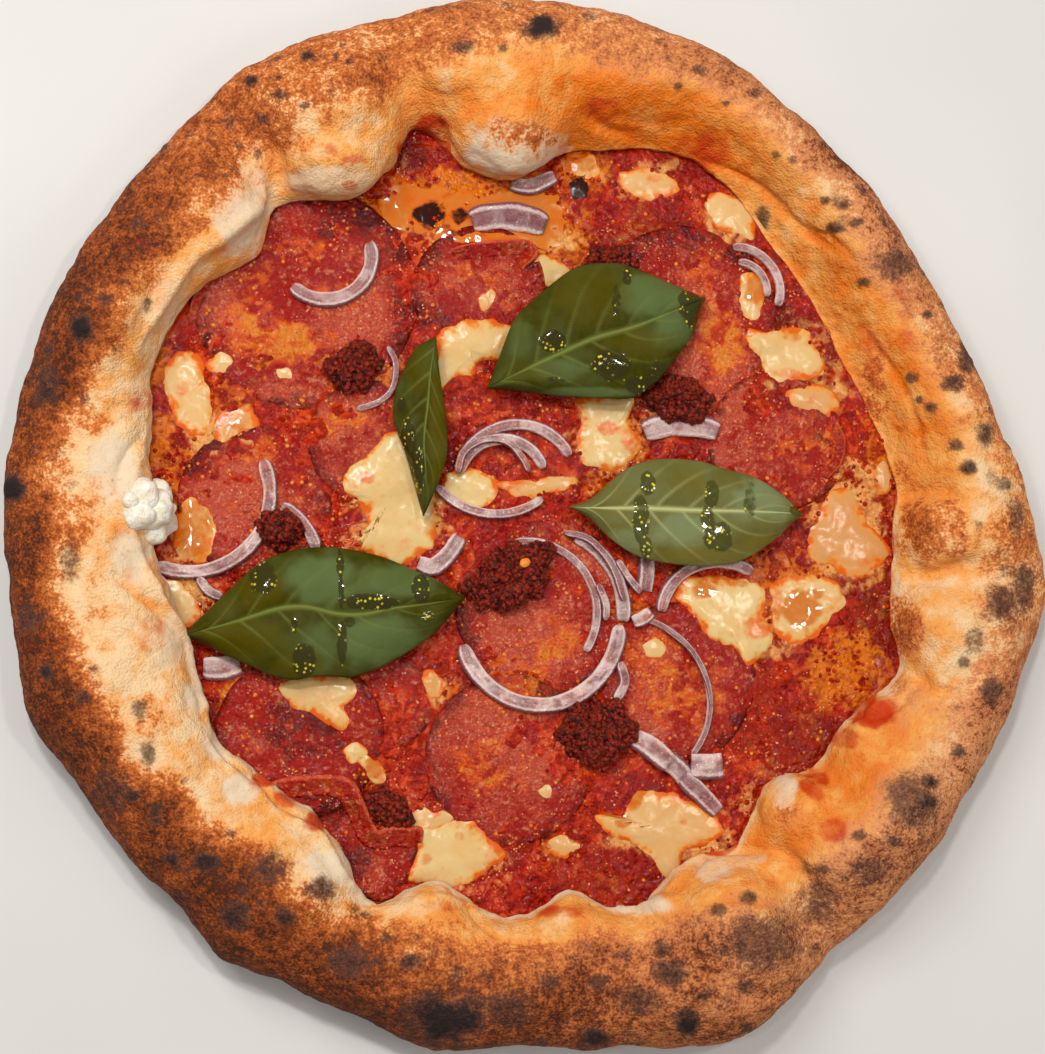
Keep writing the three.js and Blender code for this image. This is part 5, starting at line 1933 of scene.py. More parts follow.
@dataclass
class OnionStrip:
    """One strip of onion: the line that it follows, its width and its looks."""

    name: str
    line: np.ndarray
    width: float
    height: float = 2.5
    tint: float = 0.2
    blunt: float = 0.5
    node: str = ""
    # The cross-section: shares of the half width and of the height.
    profile: Pixels = (
        (-1.0, 0.2), (-0.98, 0.5), (-0.9, 0.74), (-0.76, 0.88), (-0.55, 0.95), (-0.2, 0.99), (0.1, 1.0),
        (0.34, 0.99), (0.6, 0.95), (0.78, 0.87), (0.91, 0.72), (0.98, 0.48), (1.0, 0.2), (0.9, -0.15),
        (0.3, -0.2), (-0.3, -0.2), (-0.9, -0.15))
    # How many of its last corners lie in the bed.
    hidden: int = 4
    # Whether every part of it follows the bed, as a limp edge does.
    limp: bool = False

    def build(self, bed: Bed, flesh: bpy.types.Material, seed: int) -> bpy.types.Object:
        """Lay the strip along its line on the bed.

        Args:
            bed: what lies there already; the strip is added to it.
            flesh: the strip's finish.
            seed: the seed of its uneven cut.

        Returns:
            The finished piece.
        """
        ripple = Ripple(seed)
        length = np.linalg.norm(np.diff(self.line, axis=0), axis=1).sum()
        steps = max(10, int(length / 0.8))
        line = smooth_line(self.line, steps)
        along = np.linspace(0, length, steps)
        ahead = np.gradient(line, axis=0)
        ahead /= np.linalg.norm(ahead, axis=1, keepdims=True)
        side = np.stack([ahead[:, 1], -ahead[:, 0]], axis=-1)
        flat = np.concatenate([line, np.zeros((steps, 1))], axis=1)
        ends = np.clip(np.minimum(along, length - along) / max(self.width * 0.6, 1.2), 0, 1)
        wide = self.width / 2 * (self.blunt + (1 - self.blunt) * np.sin(np.pi / 2 * ends) ** 0.7)
        wide = wide * (1 + 0.1 * ripple.at(flat, 7.0))
        shifts = np.stack([bed.at(*(line + side * (wide * k)[:, None]).T) for k in (-0.9, -0.4, 0, 0.4, 0.9)])
        rest = shifts.max(0) * 0.65 + shifts.mean(0) * 0.35
        half = 6
        padded = np.concatenate([np.repeat(rest[:1], half), rest, np.repeat(rest[-1:], half)])
        rest = np.maximum(np.convolve(padded, np.ones(2 * half + 1) / (2 * half + 1), "valid"), rest - 0.9)
        tall = self.height * (0.72 + 0.28 * np.sin(np.pi / 2 * ends)) * (1 + 0.06 * ripple.at(flat + 9, 9.0))
        rows = []
        for u, v in self.profile:
            place = line + side * (wide * u)[:, None]
            ground = bed.at(*place.T) - 0.1 if self.limp else rest
            rows.append(np.stack([place[:, 0], place[:, 1],
                                  ground + tall * v + 0.05 * ripple.at(flat + 30 * u, 3.0)], axis=-1))
        grid = np.stack(rows, axis=1)
        points = np.vstack([grid.reshape(-1, 3), grid[0].mean(0), grid[-1].mean(0)])
        across = np.array([(u + 1) / 2 for u, _ in self.profile])
        shape = (steps, len(self.profile))
        marks = self.looks(np.broadcast_to(across, shape), np.broadcast_to(along[:, None], shape))
        marks = {label: np.concatenate([mask.ravel(), [mask[0].mean()], [mask[-1].mean()]])
                 for label, mask in marks.items()}
        bed.lay_points(grid[:, :-self.hidden].reshape(-1, 3))
        return mesh_piece(self.name, points, tube_faces(*shape), marks, flesh)

    def looks(self, across: np.ndarray, along: np.ndarray) -> dict[str, np.ndarray]:
        """Return the values painted on the strip."""
        return {"across": across, "along": along, "tint": np.full(across.shape, self.tint)}


@dataclass
class FoldedEdge(OnionStrip):
    """The edge of a slice of salami that rises in a fold and ends in a thin wall."""

    profile: Pixels = (
        (-1.0, 0.05), (-0.85, 0.12), (-0.68, 0.24), (-0.5, 0.4), (-0.34, 0.58), (-0.2, 0.77), (-0.1, 0.93),
        (-0.03, 1.0), (0.05, 1.0), (0.11, 0.86), (0.13, 0.6), (0.12, 0.3), (0.1, 0.0), (0.0, -0.2),
        (-0.3, -0.2), (-0.6, -0.2), (-0.95, -0.12))
    limp: bool = True

    def looks(self, across: np.ndarray, along: np.ndarray) -> dict[str, np.ndarray]:
        """Paint a highlight along the thin edge, and painted shade with some oil on the slope below it.

        Args:
            across: how far across the strip each corner is, 0 to 1.
            along: how far along it, in millimetres.

        Returns:
            The painted values by name.
        """
        wave = 0.5 + 0.5 * np.sin(along * 1.1 + 2 * np.sin(along * 0.37))
        # Painted shade on the slope below the edge, and a painted highlight along the edge.
        slope = soft_step(across, 0.05, 0.28) * (1 - soft_step(across, 0.3, 0.44))
        lit = soft_step(across, 0.43, 0.49) * (0.55 + 0.45 * wave)
        return {"lit": lit, "oily": (0.1 + 0.4 * wave) * slope, "deep": 0.35 * slope}


@dataclass
class FoldLayer:
    """The folded edges of the slices."""

    line_height: float = 9.5
    # Name, width, height and the pixels of the line, with the slice on the left of its way.
    folds: Sequence[tuple[str, float, float, Pixels]] = (
        ("low", 11.0, 1.9, ((422, 843), (421, 829), (408, 829), (392, 828), (377, 832), (368, 815),
                            (358, 792), (347, 780), (325, 777), (290, 779), (268, 784))),
        ("upper", 8.0, 1.7, ((522, 268), (537, 253), (530, 241), (500, 241), (470, 244), (451, 249))),
        ("left", 5.0, 1.4, ((228, 236), (214, 252), (204, 276), (192, 300), (190, 322))),
        ("right", 5.0, 1.3, ((828, 478), (842, 462), (846, 440), (838, 420))),
    )

    def build(self, bed: Bed, meat: bpy.types.Material) -> None:
        """Stand every fold on the bed.

        Args:
            bed: what lies there already; the folds are added to it.
            meat: the folds' finish.
        """
        for number, (name, width, height, pixels) in enumerate(self.folds):
            line = line_on(pixels, self.line_height)
            fold = FoldedEdge(f"salami_fold_{name}", line, width, height, 0.0, 0.3)
            settle(fold.build(bed, meat, Seed.SALAMI_FOLDS + number), "salami")


@dataclass
class OnionLayer:
    """The strips and scraps of red onion."""

    line_height: float = 10.0
    # Middle, radius, from angle, to angle, width, violet tint and how blunt the ends are.
    arcs: Rows = (
        (-61, 74.5, 13, 222, 380, 4.6, 0.4, 0.6), (-7.5, 59, 30, 68, 112, 8.5, 0.9, 0.7),
        (61.5, 68.5, 12.5, -24, 98, 2.8, 0.3, 0.5), (61.5, 67.5, 8.6, -10, 92, 2.4, 0.3, 0.5),
        (43.5, -3.5, 30, 69, 111, 7, 0.35, 0.8), (-5.5, 8, 18.2, 30, 152, 3.6, 0.3, 0.5),
        (-9.5, 9.5, 12.6, 18, 170, 3.6, 0.3, 0.5), (-11.5, 20, 20.8, 216, 312, 3, 0.1, 0.5),
        (-100.5, 5.5, 23.8, 250, 382, 4.2, 0.1, 0.6), (-79.5, -14.5, 17.2, 12, 68, 3.8, 0.3, 0.6),
        (1.5, -31.2, 24, 198, 357, 4.8, 0.05, 0.5), (2, -29.5, 24.6, -4, 66, 4.4, 0.6, 0.7),
        (-3.5, -29.5, 21.6, -30, 96, 2.6, 0.35, 0.5), (54.5, -30, 17, 54, 174, 3.8, 0.2, 0.6),
        (26, -54, 25, -38, 78, 1.8, 0.6, 0.4), (33, -84, 14, 14, 78, 6, 0.5, 0.7))
    # Scraps: width, tint, bluntness, height and the pixels of their line.
    scraps: Sequence[tuple[str, float, float, float, float, Pixels]] = (
        ("thin_curl", 1.9, 0.3, 0.4, 1.6, ((388, 345), (396, 362), (393, 386), (380, 400), (357, 408))),
        ("left_scrap", 7.0, 0.45, 0.8, 1.8, ((203, 668), (222, 668), (240, 664))),
        ("clear_scrap", 5.4, 0.3, 0.8, 1.6, ((419, 562), (434, 566), (450, 553), (461, 536))),
        ("leaning_sliver", 3.0, 0.3, 0.4, 2.0, ((620, 662), (625, 682), (616, 700))),
        ("upright_scrap", 5.2, 0.4, 0.9, 1.8, ((648, 556), (648, 572), (646, 590))),
        ("top_scrap", 5.0, 0.5, 0.8, 1.6, ((512, 181), (532, 184), (556, 174))),
        ("pale_bar", 6.6, 0.0, 0.85, 2.2, ((636, 738), (652, 748), (670, 764))),
        ("split_block", 8.0, 0.1, 0.95, 2.4, ((692, 766), (708, 767), (724, 766))),
        ("violet_bar", 5.4, 0.7, 0.8, 1.6, ((684, 778), (700, 792), (720, 812))),
        ("pale_crumb", 3.0, 0.0, 0.5, 1.6, ((198, 577), (208, 590), (222, 597))),
        ("sliver_in_ring", 2.4, 0.15, 0.4, 1.8, ((598, 584), (606, 604), (606, 620))),
        ("crumb_by_ring", 4.4, 0.1, 0.8, 1.8, ((634, 622), (644, 618), (652, 612))),
        ("branch", 2.4, 0.2, 0.5, 1.8, ((618, 560), (630, 578), (642, 592))),
        ("second_skin", 2.2, 0.6, 0.5, 2.2, ((566, 532), (590, 540), (612, 566), (624, 600))),
        ("ring_core", 2.2, 0.2, 0.4, 2.2, ((458, 472), (464, 452), (484, 440), (508, 442), (524, 458),
                                           (530, 470))),
        ("fine_hair", 1.0, 0.7, 0.5, 1.2, ((664, 628), (690, 650), (706, 680), (712, 706))),
    )

    def build(self, bed: Bed, flesh: bpy.types.Material) -> None:
        """Lay every strip and scrap.

        Args:
            bed: what lies there already; the onion is added to it.
            flesh: the onion's finish.
        """
        for number, (x, y, radius, start, end, width, tint, blunt) in enumerate(self.arcs, 1):
            turn = np.radians(np.linspace(start, end, 24))
            stretch = radius * (1 + 0.025 * np.sin(2 * turn + number))
            line = np.stack([x + stretch * np.cos(turn), y + stretch * np.sin(turn)], axis=-1)
            strip = OnionStrip(f"onion_strip_{number}", line, width, 2.0, tint, blunt, f"onion_{number}")
            settle(strip.build(bed, flesh, Seed.ONION_STRIPS + number), "onion", strip.node)
        for number, (name, width, tint, blunt, height, pixels) in enumerate(self.scraps):
            strip = OnionStrip(f"onion_{name}", line_on(pixels, self.line_height), width, height, tint, blunt)
            settle(strip.build(bed, flesh, Seed.ONION_SCRAPS + number), "onion")


# ---------------------------------------------------------------------------------------------------------
# Paste and curd
# ---------------------------------------------------------------------------------------------------------


class CrumbTree:
    """Geometry Nodes that scatter small uneven crumbs over a surface."""

    def __init__(self) -> None:
        """Build the tree once."""
        tree = bpy.data.node_groups.new("Crumbs", "GeometryNodeTree")
        face = tree.interface
        face.new_socket("Geometry", in_out="INPUT", socket_type="NodeSocketGeometry")
        for label, kind in (("Density", "NodeSocketFloat"), ("Smallest", "NodeSocketFloat"),
                            ("Largest", "NodeSocketFloat"), ("Flatness", "NodeSocketFloat"),
                            ("Roughness", "NodeSocketFloat"), ("Seed", "NodeSocketInt"),
                            ("Facets", "NodeSocketInt"), ("Where", "NodeSocketString"),
                            ("Finish", "NodeSocketMaterial")):
            face.new_socket(label, in_out="INPUT", socket_type=kind)
        face.new_socket("Geometry", in_out="OUTPUT", socket_type="NodeSocketGeometry")
        wires = Wiring(tree)
        source, sink = wires.node("NodeGroupInput").outputs, wires.node("NodeGroupOutput").inputs
        mark = wires.node("GeometryNodeInputNamedAttribute", {"Name": source["Where"]}, data_type="FLOAT")
        density = wires.times(source["Density"], mark.outputs["Attribute"])
        points = wires.node("GeometryNodeDistributePointsOnFaces",
                            {"Mesh": source["Geometry"], "Density": density, "Seed": source["Seed"]})
        size = wires.node("FunctionNodeRandomValue", {2: source["Smallest"], 3: source["Largest"],
                                                      "Seed": source["Seed"]}, data_type="FLOAT").outputs[1]
        flat = wires.times(size, source["Flatness"])
        scale = wires.node("ShaderNodeCombineXYZ", {0: size, 1: size, 2: flat}).outputs[0]
        crumb = wires.node("GeometryNodeMeshIcoSphere",
                           {"Radius": 1.0, "Subdivisions": source["Facets"]}).outputs[0]
        placed = wires.node("GeometryNodeInstanceOnPoints",
                            {"Points": points.outputs["Points"], "Instance": crumb,
                             "Rotation": points.outputs["Rotation"], "Scale": scale})
        real = wires.node("GeometryNodeRealizeInstances", {"Geometry": placed.outputs[0]})
        noise = wires.node("ShaderNodeTexNoise", {"Scale": 900.0, "Detail": 1.0})
        offset = wires.node("ShaderNodeVectorMath", {0: noise.outputs["Color"], 1: (0.5, 0.5, 0.5)},
                            operation="SUBTRACT")
        push = wires.node("ShaderNodeVectorMath", {0: offset.outputs[0]}, operation="SCALE")
        wires.feed(push.inputs["Scale"], source["Roughness"])
        moved = wires.node("GeometryNodeSetPosition",
                           {"Geometry": real.outputs[0], "Offset": push.outputs[0]})
        smooth = wires.node("GeometryNodeSetShadeSmooth", {"Geometry": moved.outputs[0]})
        wires.node("GeometryNodeSetMaterial", {"Geometry": smooth.outputs[0], "Material": source["Finish"]})
        wires.feed(sink[0], tree.nodes[-1].outputs[0])
        self.tree = tree

    def grow(self, base: bpy.types.Object, name: str, finish: bpy.types.Material, where: str, density: float,
             smallest: float, largest: float, flatness: float, roughness: float, seed: int, facets: int = 1
             ) -> bpy.types.Object:
        """Scatter crumbs over a piece and turn them into a plain mesh.

        Args:
            base: the piece that carries them.
            name: the new piece's name.
            finish: the crumbs' finish.
            where: the mark that says where they are.
            density: crumbs for each square millimetre.
            smallest: the smallest radius, in millimetres.
            largest: the largest radius.
            flatness: their height as a share of their width.
            roughness: how far their skin is pushed about, in millimetres.
            seed: the seed of their places.
            facets: 1 for twenty faces, 2 for eighty.

        Returns:
            The crumbs as one piece.
        """
        carrier = bpy.data.objects.new(name + "_carrier", base.data)
        bpy.context.scene.collection.objects.link(carrier)
        growth = carrier.modifiers.new("Crumbs", "NODES")
        growth.node_group = self.tree
        values = {"Density": density / MM**2, "Smallest": smallest * MM, "Largest": largest * MM,
                  "Flatness": flatness, "Roughness": roughness * MM, "Seed": seed, "Facets": facets,
                  "Where": where, "Finish": finish}
        for item in self.tree.interface.items_tree:
            if item.in_out == "INPUT" and item.name in values:
                growth[item.identifier] = values[item.name]
        ready = carrier.evaluated_get(bpy.context.evaluated_depsgraph_get())
        mesh = bpy.data.meshes.new_from_object(ready)
        bpy.data.objects.remove(carrier)
        mesh.name = name
        piece = bpy.data.objects.new(name, mesh)
        bpy.context.scene.collection.objects.link(piece)
        if not mesh.materials:
            mesh.materials.append(finish)
        return piece


@dataclass(frozen=True)
class PulpBits(CookedSauce):
    """Bits of tomato pulp in the sauce."""

    name = "tomato_pulp"


@dataclass(frozen=True)
class FatGrains(Finish):
    """Grains of fat and meat that stand up from the slices."""

    name = "fat_grains"
    display = paint(214, 130, 100)
    red: Colour = paint(160, 34, 16)
    pink: Colour = paint(206, 84, 46)
    pale: Colour = paint(232, 160, 110)

    def wire(self, wires: Wiring, effects: Effects, shader: bpy.types.Node) -> None:
        """Vary the grains from brick red to pale orange fat."""
        tone = wires.group(effects.mottle, Size=1.4, Layers=2.0, Low=0.35, High=0.65, Shift=9.0)
        colour = wires.ramp(tone, [(0.0, self.red), (0.6, self.pink), (1.0, self.pale)])
        wires.dress(shader, colour, 0.18)


@dataclass
class Sprinkles:
    """The small bits that lie on the toppings: pulp, fat grains and beads of oil."""

    reach: float = 112.0

    def build(self, bed: Bed, tree: CrumbTree, effects: Effects) -> None:
        """Scatter each kind over the layers that it belongs to.

        Args:
            bed: the toppings so far.
            tree: what scatters crumbs.
            effects: the shared node groups.
        """
        # Name, layers, finish, bits for each square millimetre, radii, flatness, roughness and facets.
        kinds = (
            ("tomato_pulp_bits", ("sauce",), PulpBits(), 0.4, 0.3, 0.9, 0.4, 0.5, 1),
            ("fat_grain_bits", ("salami", "sauce"), FatGrains(), 0.5, 0.14, 0.42, 0.5, 0.2, 1),
            ("oil_beads", ("sauce", "salami"), ClearOil(), 0.1, 0.2, 0.6, 0.36, 0.0, 2),
        )
        for seed, (name, layers, finish, density, small, large, flat, rough, facets) in enumerate(kinds):
            carrier = bed.surface(name + "_bed", layers, self.reach)
            piece = tree.grow(carrier, name, finish.make(effects), "open", density, small, large, flat, rough,
                              Seed.SPRINKLES + seed, facets)
            bpy.data.objects.remove(carrier)
            settle(piece, "sauce")


def lump(name: str, centre: Sequence[float], half: Sequence[float], turn: float, wave: float, size: float,
         seed: int) -> tuple[np.ndarray, list, np.ndarray]:
    """Shape an uneven ball.

    Args:
        name: what it is, for its noise.
        centre: its middle.
        half: its half length, width and height.
        turn: how it is turned round the upright.
        wave: how uneven it is, as a share.
        size: the length of its ripples.
        seed: the seed of its ripples.

    Returns:
        The corners, the faces and each corner's share of the height.
    """
    ripple, rows, columns = Ripple(seed + len(name)), 18, 34
    tilt = np.radians(np.linspace(-86, 86, rows))[:, None]
    angle = np.radians(np.arange(columns) * 360 / columns)[None]
    ball = np.stack([np.cos(tilt) * np.cos(angle), np.cos(tilt) * np.sin(angle),
                     np.sin(tilt) * np.ones_like(angle)], axis=-1)
    poles = np.array([[0, 0, -1.0], [0, 0, 1.0]])
    ball = np.vstack([ball.reshape(-1, 3), poles])
    shape = ball * np.array(half)
    shape *= (1 + wave * ripple.layers(shape + np.array(centre), size, 3))[:, None]
    c, s = math.cos(math.radians(turn)), math.sin(math.radians(turn))
    points = np.stack([shape[:, 0] * c - shape[:, 1] * s, shape[:, 0] * s + shape[:, 1] * c, shape[:, 2]],
                      axis=-1)
    return points + np.array(centre), tube_faces(rows, columns), ball[:, 2]


@dataclass
class PasteClumps:
    """The clumps of dark sausage paste, each a core under hundreds of crumbs."""

    # Middle, half length, half width, turn and height of each clump.
    clumps: Rows = (
        (-53.5, 42, 7.6, 7, 40, 6), (-8.5, -19, 12.8, 9.4, 28, 7), (18, -63.5, 10.4, 9.6, 30, 7),
        (43, 34, 10, 6.4, -6, 6.5), (-74, -6, 6.2, 5.6, -40, 6), (-42, -85, 8.6, 5, -35, 4.5),
        (23, 76, 7.4, 4.4, 5, 5), (0.5, -12.5, 5.6, 4.4, 50, 5.5))
    seed_pixel: tuple[float, float] = (526, 562)
    seed_height: float = 15.0
    seed_half: tuple[float, float, float] = (1.6, 1.35, 0.55)

    def build(self, bed: Bed, tree: CrumbTree, paste: bpy.types.Material, skin: bpy.types.Material) -> None:
        """Press every clump onto the bed and cover it with crumbs.

        Args:
            bed: what lies there already; the clumps are added to it.
            tree: what scatters crumbs.
            paste: the clumps' finish.
            skin: the finish of the chilli seed.
        """
        for number, (x, y, length, width, turn, height) in enumerate(self.clumps, 1):
            rest = float(bed.at(x, y, bed.softened(4.0)))
            middle = (x, y, rest + height * 0.22)
            points, faces, share = lump("core", middle, (length * 0.9, width * 0.9, height * 0.6), turn, 0.6,
                                        4.6, Seed.PASTE_CORES + number)
            marks = {"crumbly": (share > -0.2).astype(float)}
            core = mesh_piece(f"paste_clump_{number}", points, faces, marks, paste)
            settle(core, "paste", *([f"sausage_paste_{number}"] if number < len(self.clumps) else []))
            crumbs = tree.grow(core, f"paste_crumbs_{number}", paste, "crumbly", 1.6, 0.2, 1.2, 0.8, 1.6,
                               Seed.PASTE_CRUMBS + number)
            settle(crumbs, "paste")
            bed.lay_points(points)
        place = CAMERA.unproject(np.array(self.seed_pixel, float), self.seed_height)
        place[2] = float(bed.at(place[0], place[1])) + 1.3
        points, faces, share = lump("seed", place, self.seed_half, 20.0, 0.12, 2.0, Seed.CHILLI_SEED)
        settle(mesh_piece("chilli_seed", points, faces, {"high": share}, skin), "paste")


@dataclass
class RicottaCurd:
    """The white curd at the torn left lip."""

    # A height that is clear of everything, from which the crust is looked for.
    above: float = 60.0
    # Pixel, radius and height of each lobe.
    lobes: Rows = (
        (150, 508, 7.4, 11.0), (157, 494, 5.2, 12.0), (162, 522, 5.0, 9.5), (143, 494, 5.4, 12.5),
        (152, 531, 4.4, 9.0), (138, 514, 5.0, 12.0), (130, 500, 2.6, 14.0), (168, 508, 2.6, 10.0),
        (144, 486, 3.0, 12.5), (158, 537, 2.4, 8.5))

    def build(self, curd: bpy.types.Material, crust: bpy.types.Object) -> bpy.types.Object:
        """Press the lobes together into one curd that lies over the lip of the crust.

        Args:
            curd: its finish.
            crust: the crust, which the lobes rest on.

        Returns:
            The finished piece.
        """
        shells, faces, shares = [], [], []
        for number, (px, py, radius, height) in enumerate(self.lobes):
            place = CAMERA.unproject(np.array([px, py], float), height)
            start = Vector((place[0], place[1], self.above)) * MM
            hit, spot, _, _ = crust.ray_cast(start, Vector((0, 0, -1)))
            height = max(height, spot.z / MM + radius * 0.75) if hit else height
            place = CAMERA.unproject(np.array([px, py], float), height)
            half = (radius * 0.88, radius * 0.82, radius * 0.66)
            middle = (*place[:2], height - radius * 0.45)
            points, sides, share = lump("lobe", middle, half, 40.0 * number, 0.26, 3.6, Seed.CURD + number)
            faces += [[corner + len(points) * number for corner in side] for side in sides]
            shells.append(points)
            shares.append(share)
        marks = {"high": np.concatenate(shares)}
        return mesh_piece("ricotta_curd_lobes", np.vstack(shells), faces, marks, curd)


# ---------------------------------------------------------------------------------------------------------
# Basil
# ---------------------------------------------------------------------------------------------------------


@dataclass
class BasilLeaf:
    """One leaf, drawn by its two edges and its midrib in pixels, from the stalk to the tip."""

    name: str
    node: str
    far_edge: Pixels
    midrib: Pixels
    near_edge: Pixels
    level: float
    arch: float
    puff: float = 1.0
    droop: tuple[float, float] = (2.0, 2.0)
    side: LeafSide = LeafSide.UPPER
    oil: Rows = ()
    warm: Rows = ()
    # Spots of painted sheen: pixel, radii in pixels and strength.
    cool: Rows = ()
    thickness: float = 0.4
    rows: int = 110
    columns: int = 61

    def build(self, bed: Bed, finish: bpy.types.Material, seed: int) -> bpy.types.Object:
        """Bend the blade over what carries it.

        Args:
            bed: what lies there already.
            finish: the leaf's finish.
            seed: the seed of its waves.

        Returns:
            The finished piece.
        """
        ripple = Ripple(seed)
        rows, columns = self.rows, self.columns
        far, rib, near = (smooth_line(line, rows) for line in (self.far_edge, self.midrib, self.near_edge))
        across = np.linspace(1, -1, columns)
        along = np.linspace(0, 1, rows)[:, None]
        width = np.abs(across)[None]
        edge = np.where(across[None, :, None] > 0, far[:, None], near[:, None])
        pixels = rib[:, None] * (1 - width[..., None]) + edge * width[..., None]
        ideal = CAMERA.unproject(pixels, np.full(pixels.shape[:2], self.level))
        length = np.linalg.norm(np.diff(ideal[:, columns // 2], axis=0), axis=1).sum()
        hang = np.where(across > 0, self.droop[0], self.droop[1])[None]
        height = (self.level + self.arch * np.sin(np.pi * along) ** 0.8
                  + self.puff * np.sin(np.pi * np.clip(width, 0, 1)) ** 0.8 * np.sin(np.pi * along) ** 0.5
                  - hang * width**2.2)
        height = height + 0.5 * ripple.flat(ideal[..., 0], ideal[..., 1], 13.0, 2) * (0.3 + width)
        height = height + 0.35 * ripple.flat(ideal[..., 0], ideal[..., 1], 6.0, 1, 5.0) * width**3
        vein = np.exp(-((width * 60 / (2.2 - 1.2 * along)) ** 2) * 0.5)
        groove = vein.copy()
        for number in range(6):
            for sign in (-1, 1):
                start = 0.06 + 0.14 * number + (0.03 if sign > 0 else 0.0)
                route = start + (0.2 + 0.03 * number) * width**1.25
                near_vein = np.exp(-(((along - route) * length / 0.55) ** 2)) * (across[None] * sign > 0)
                fade = np.clip(1.15 - width, 0, 1) * (1 - 0.5 * along)
                vein = np.maximum(vein, 0.55 * near_vein * fade)
                wide_vein = np.exp(-(((along - route) * length / 1.6) ** 2)) * (across[None] * sign > 0)
                groove = np.maximum(groove, 0.8 * wide_vein * fade)
        net = ripple.flat(ideal[..., 0], ideal[..., 1], 2.4, 2, 9.0)
        sense = 1.0 if self.side is LeafSide.UNDER else -1.0
        height = height + sense * 0.4 * groove + 0.07 * net
        carried = np.maximum(bed.at(ideal[..., 0], ideal[..., 1], bed.softened(3.0)) + 0.8,
                             bed.at(ideal[..., 0], ideal[..., 1], bed.softened(1.2)) + 0.5)
        gap = height - carried
        height = carried + np.where(gap > 1.5, gap, 1.5 * np.exp((np.minimum(gap, 1.5) - 1.5) / 1.5))
        top = CAMERA.unproject(pixels, height)
        low = top.copy()
        low[..., 2] -= self.thickness * (1 - 0.7 * width**6)
        marks = {"vein": vein, "oil": spots_mask(top, self.oil, ripple, 0.22),
                 "warm": spots_mask(top, self.warm, ripple, 0.3),
                 "cool": spots_mask(top, self.cool, ripple, 0.3)}
        top[..., 2] += 0.16 * soft_step(marks["oil"], 0.3, 0.8)
        marks = {label: np.broadcast_to(mask, (rows, columns)) for label, mask in marks.items()}
        bed.lay(top)
        return slab_piece(self.name, top, low, marks, finish)


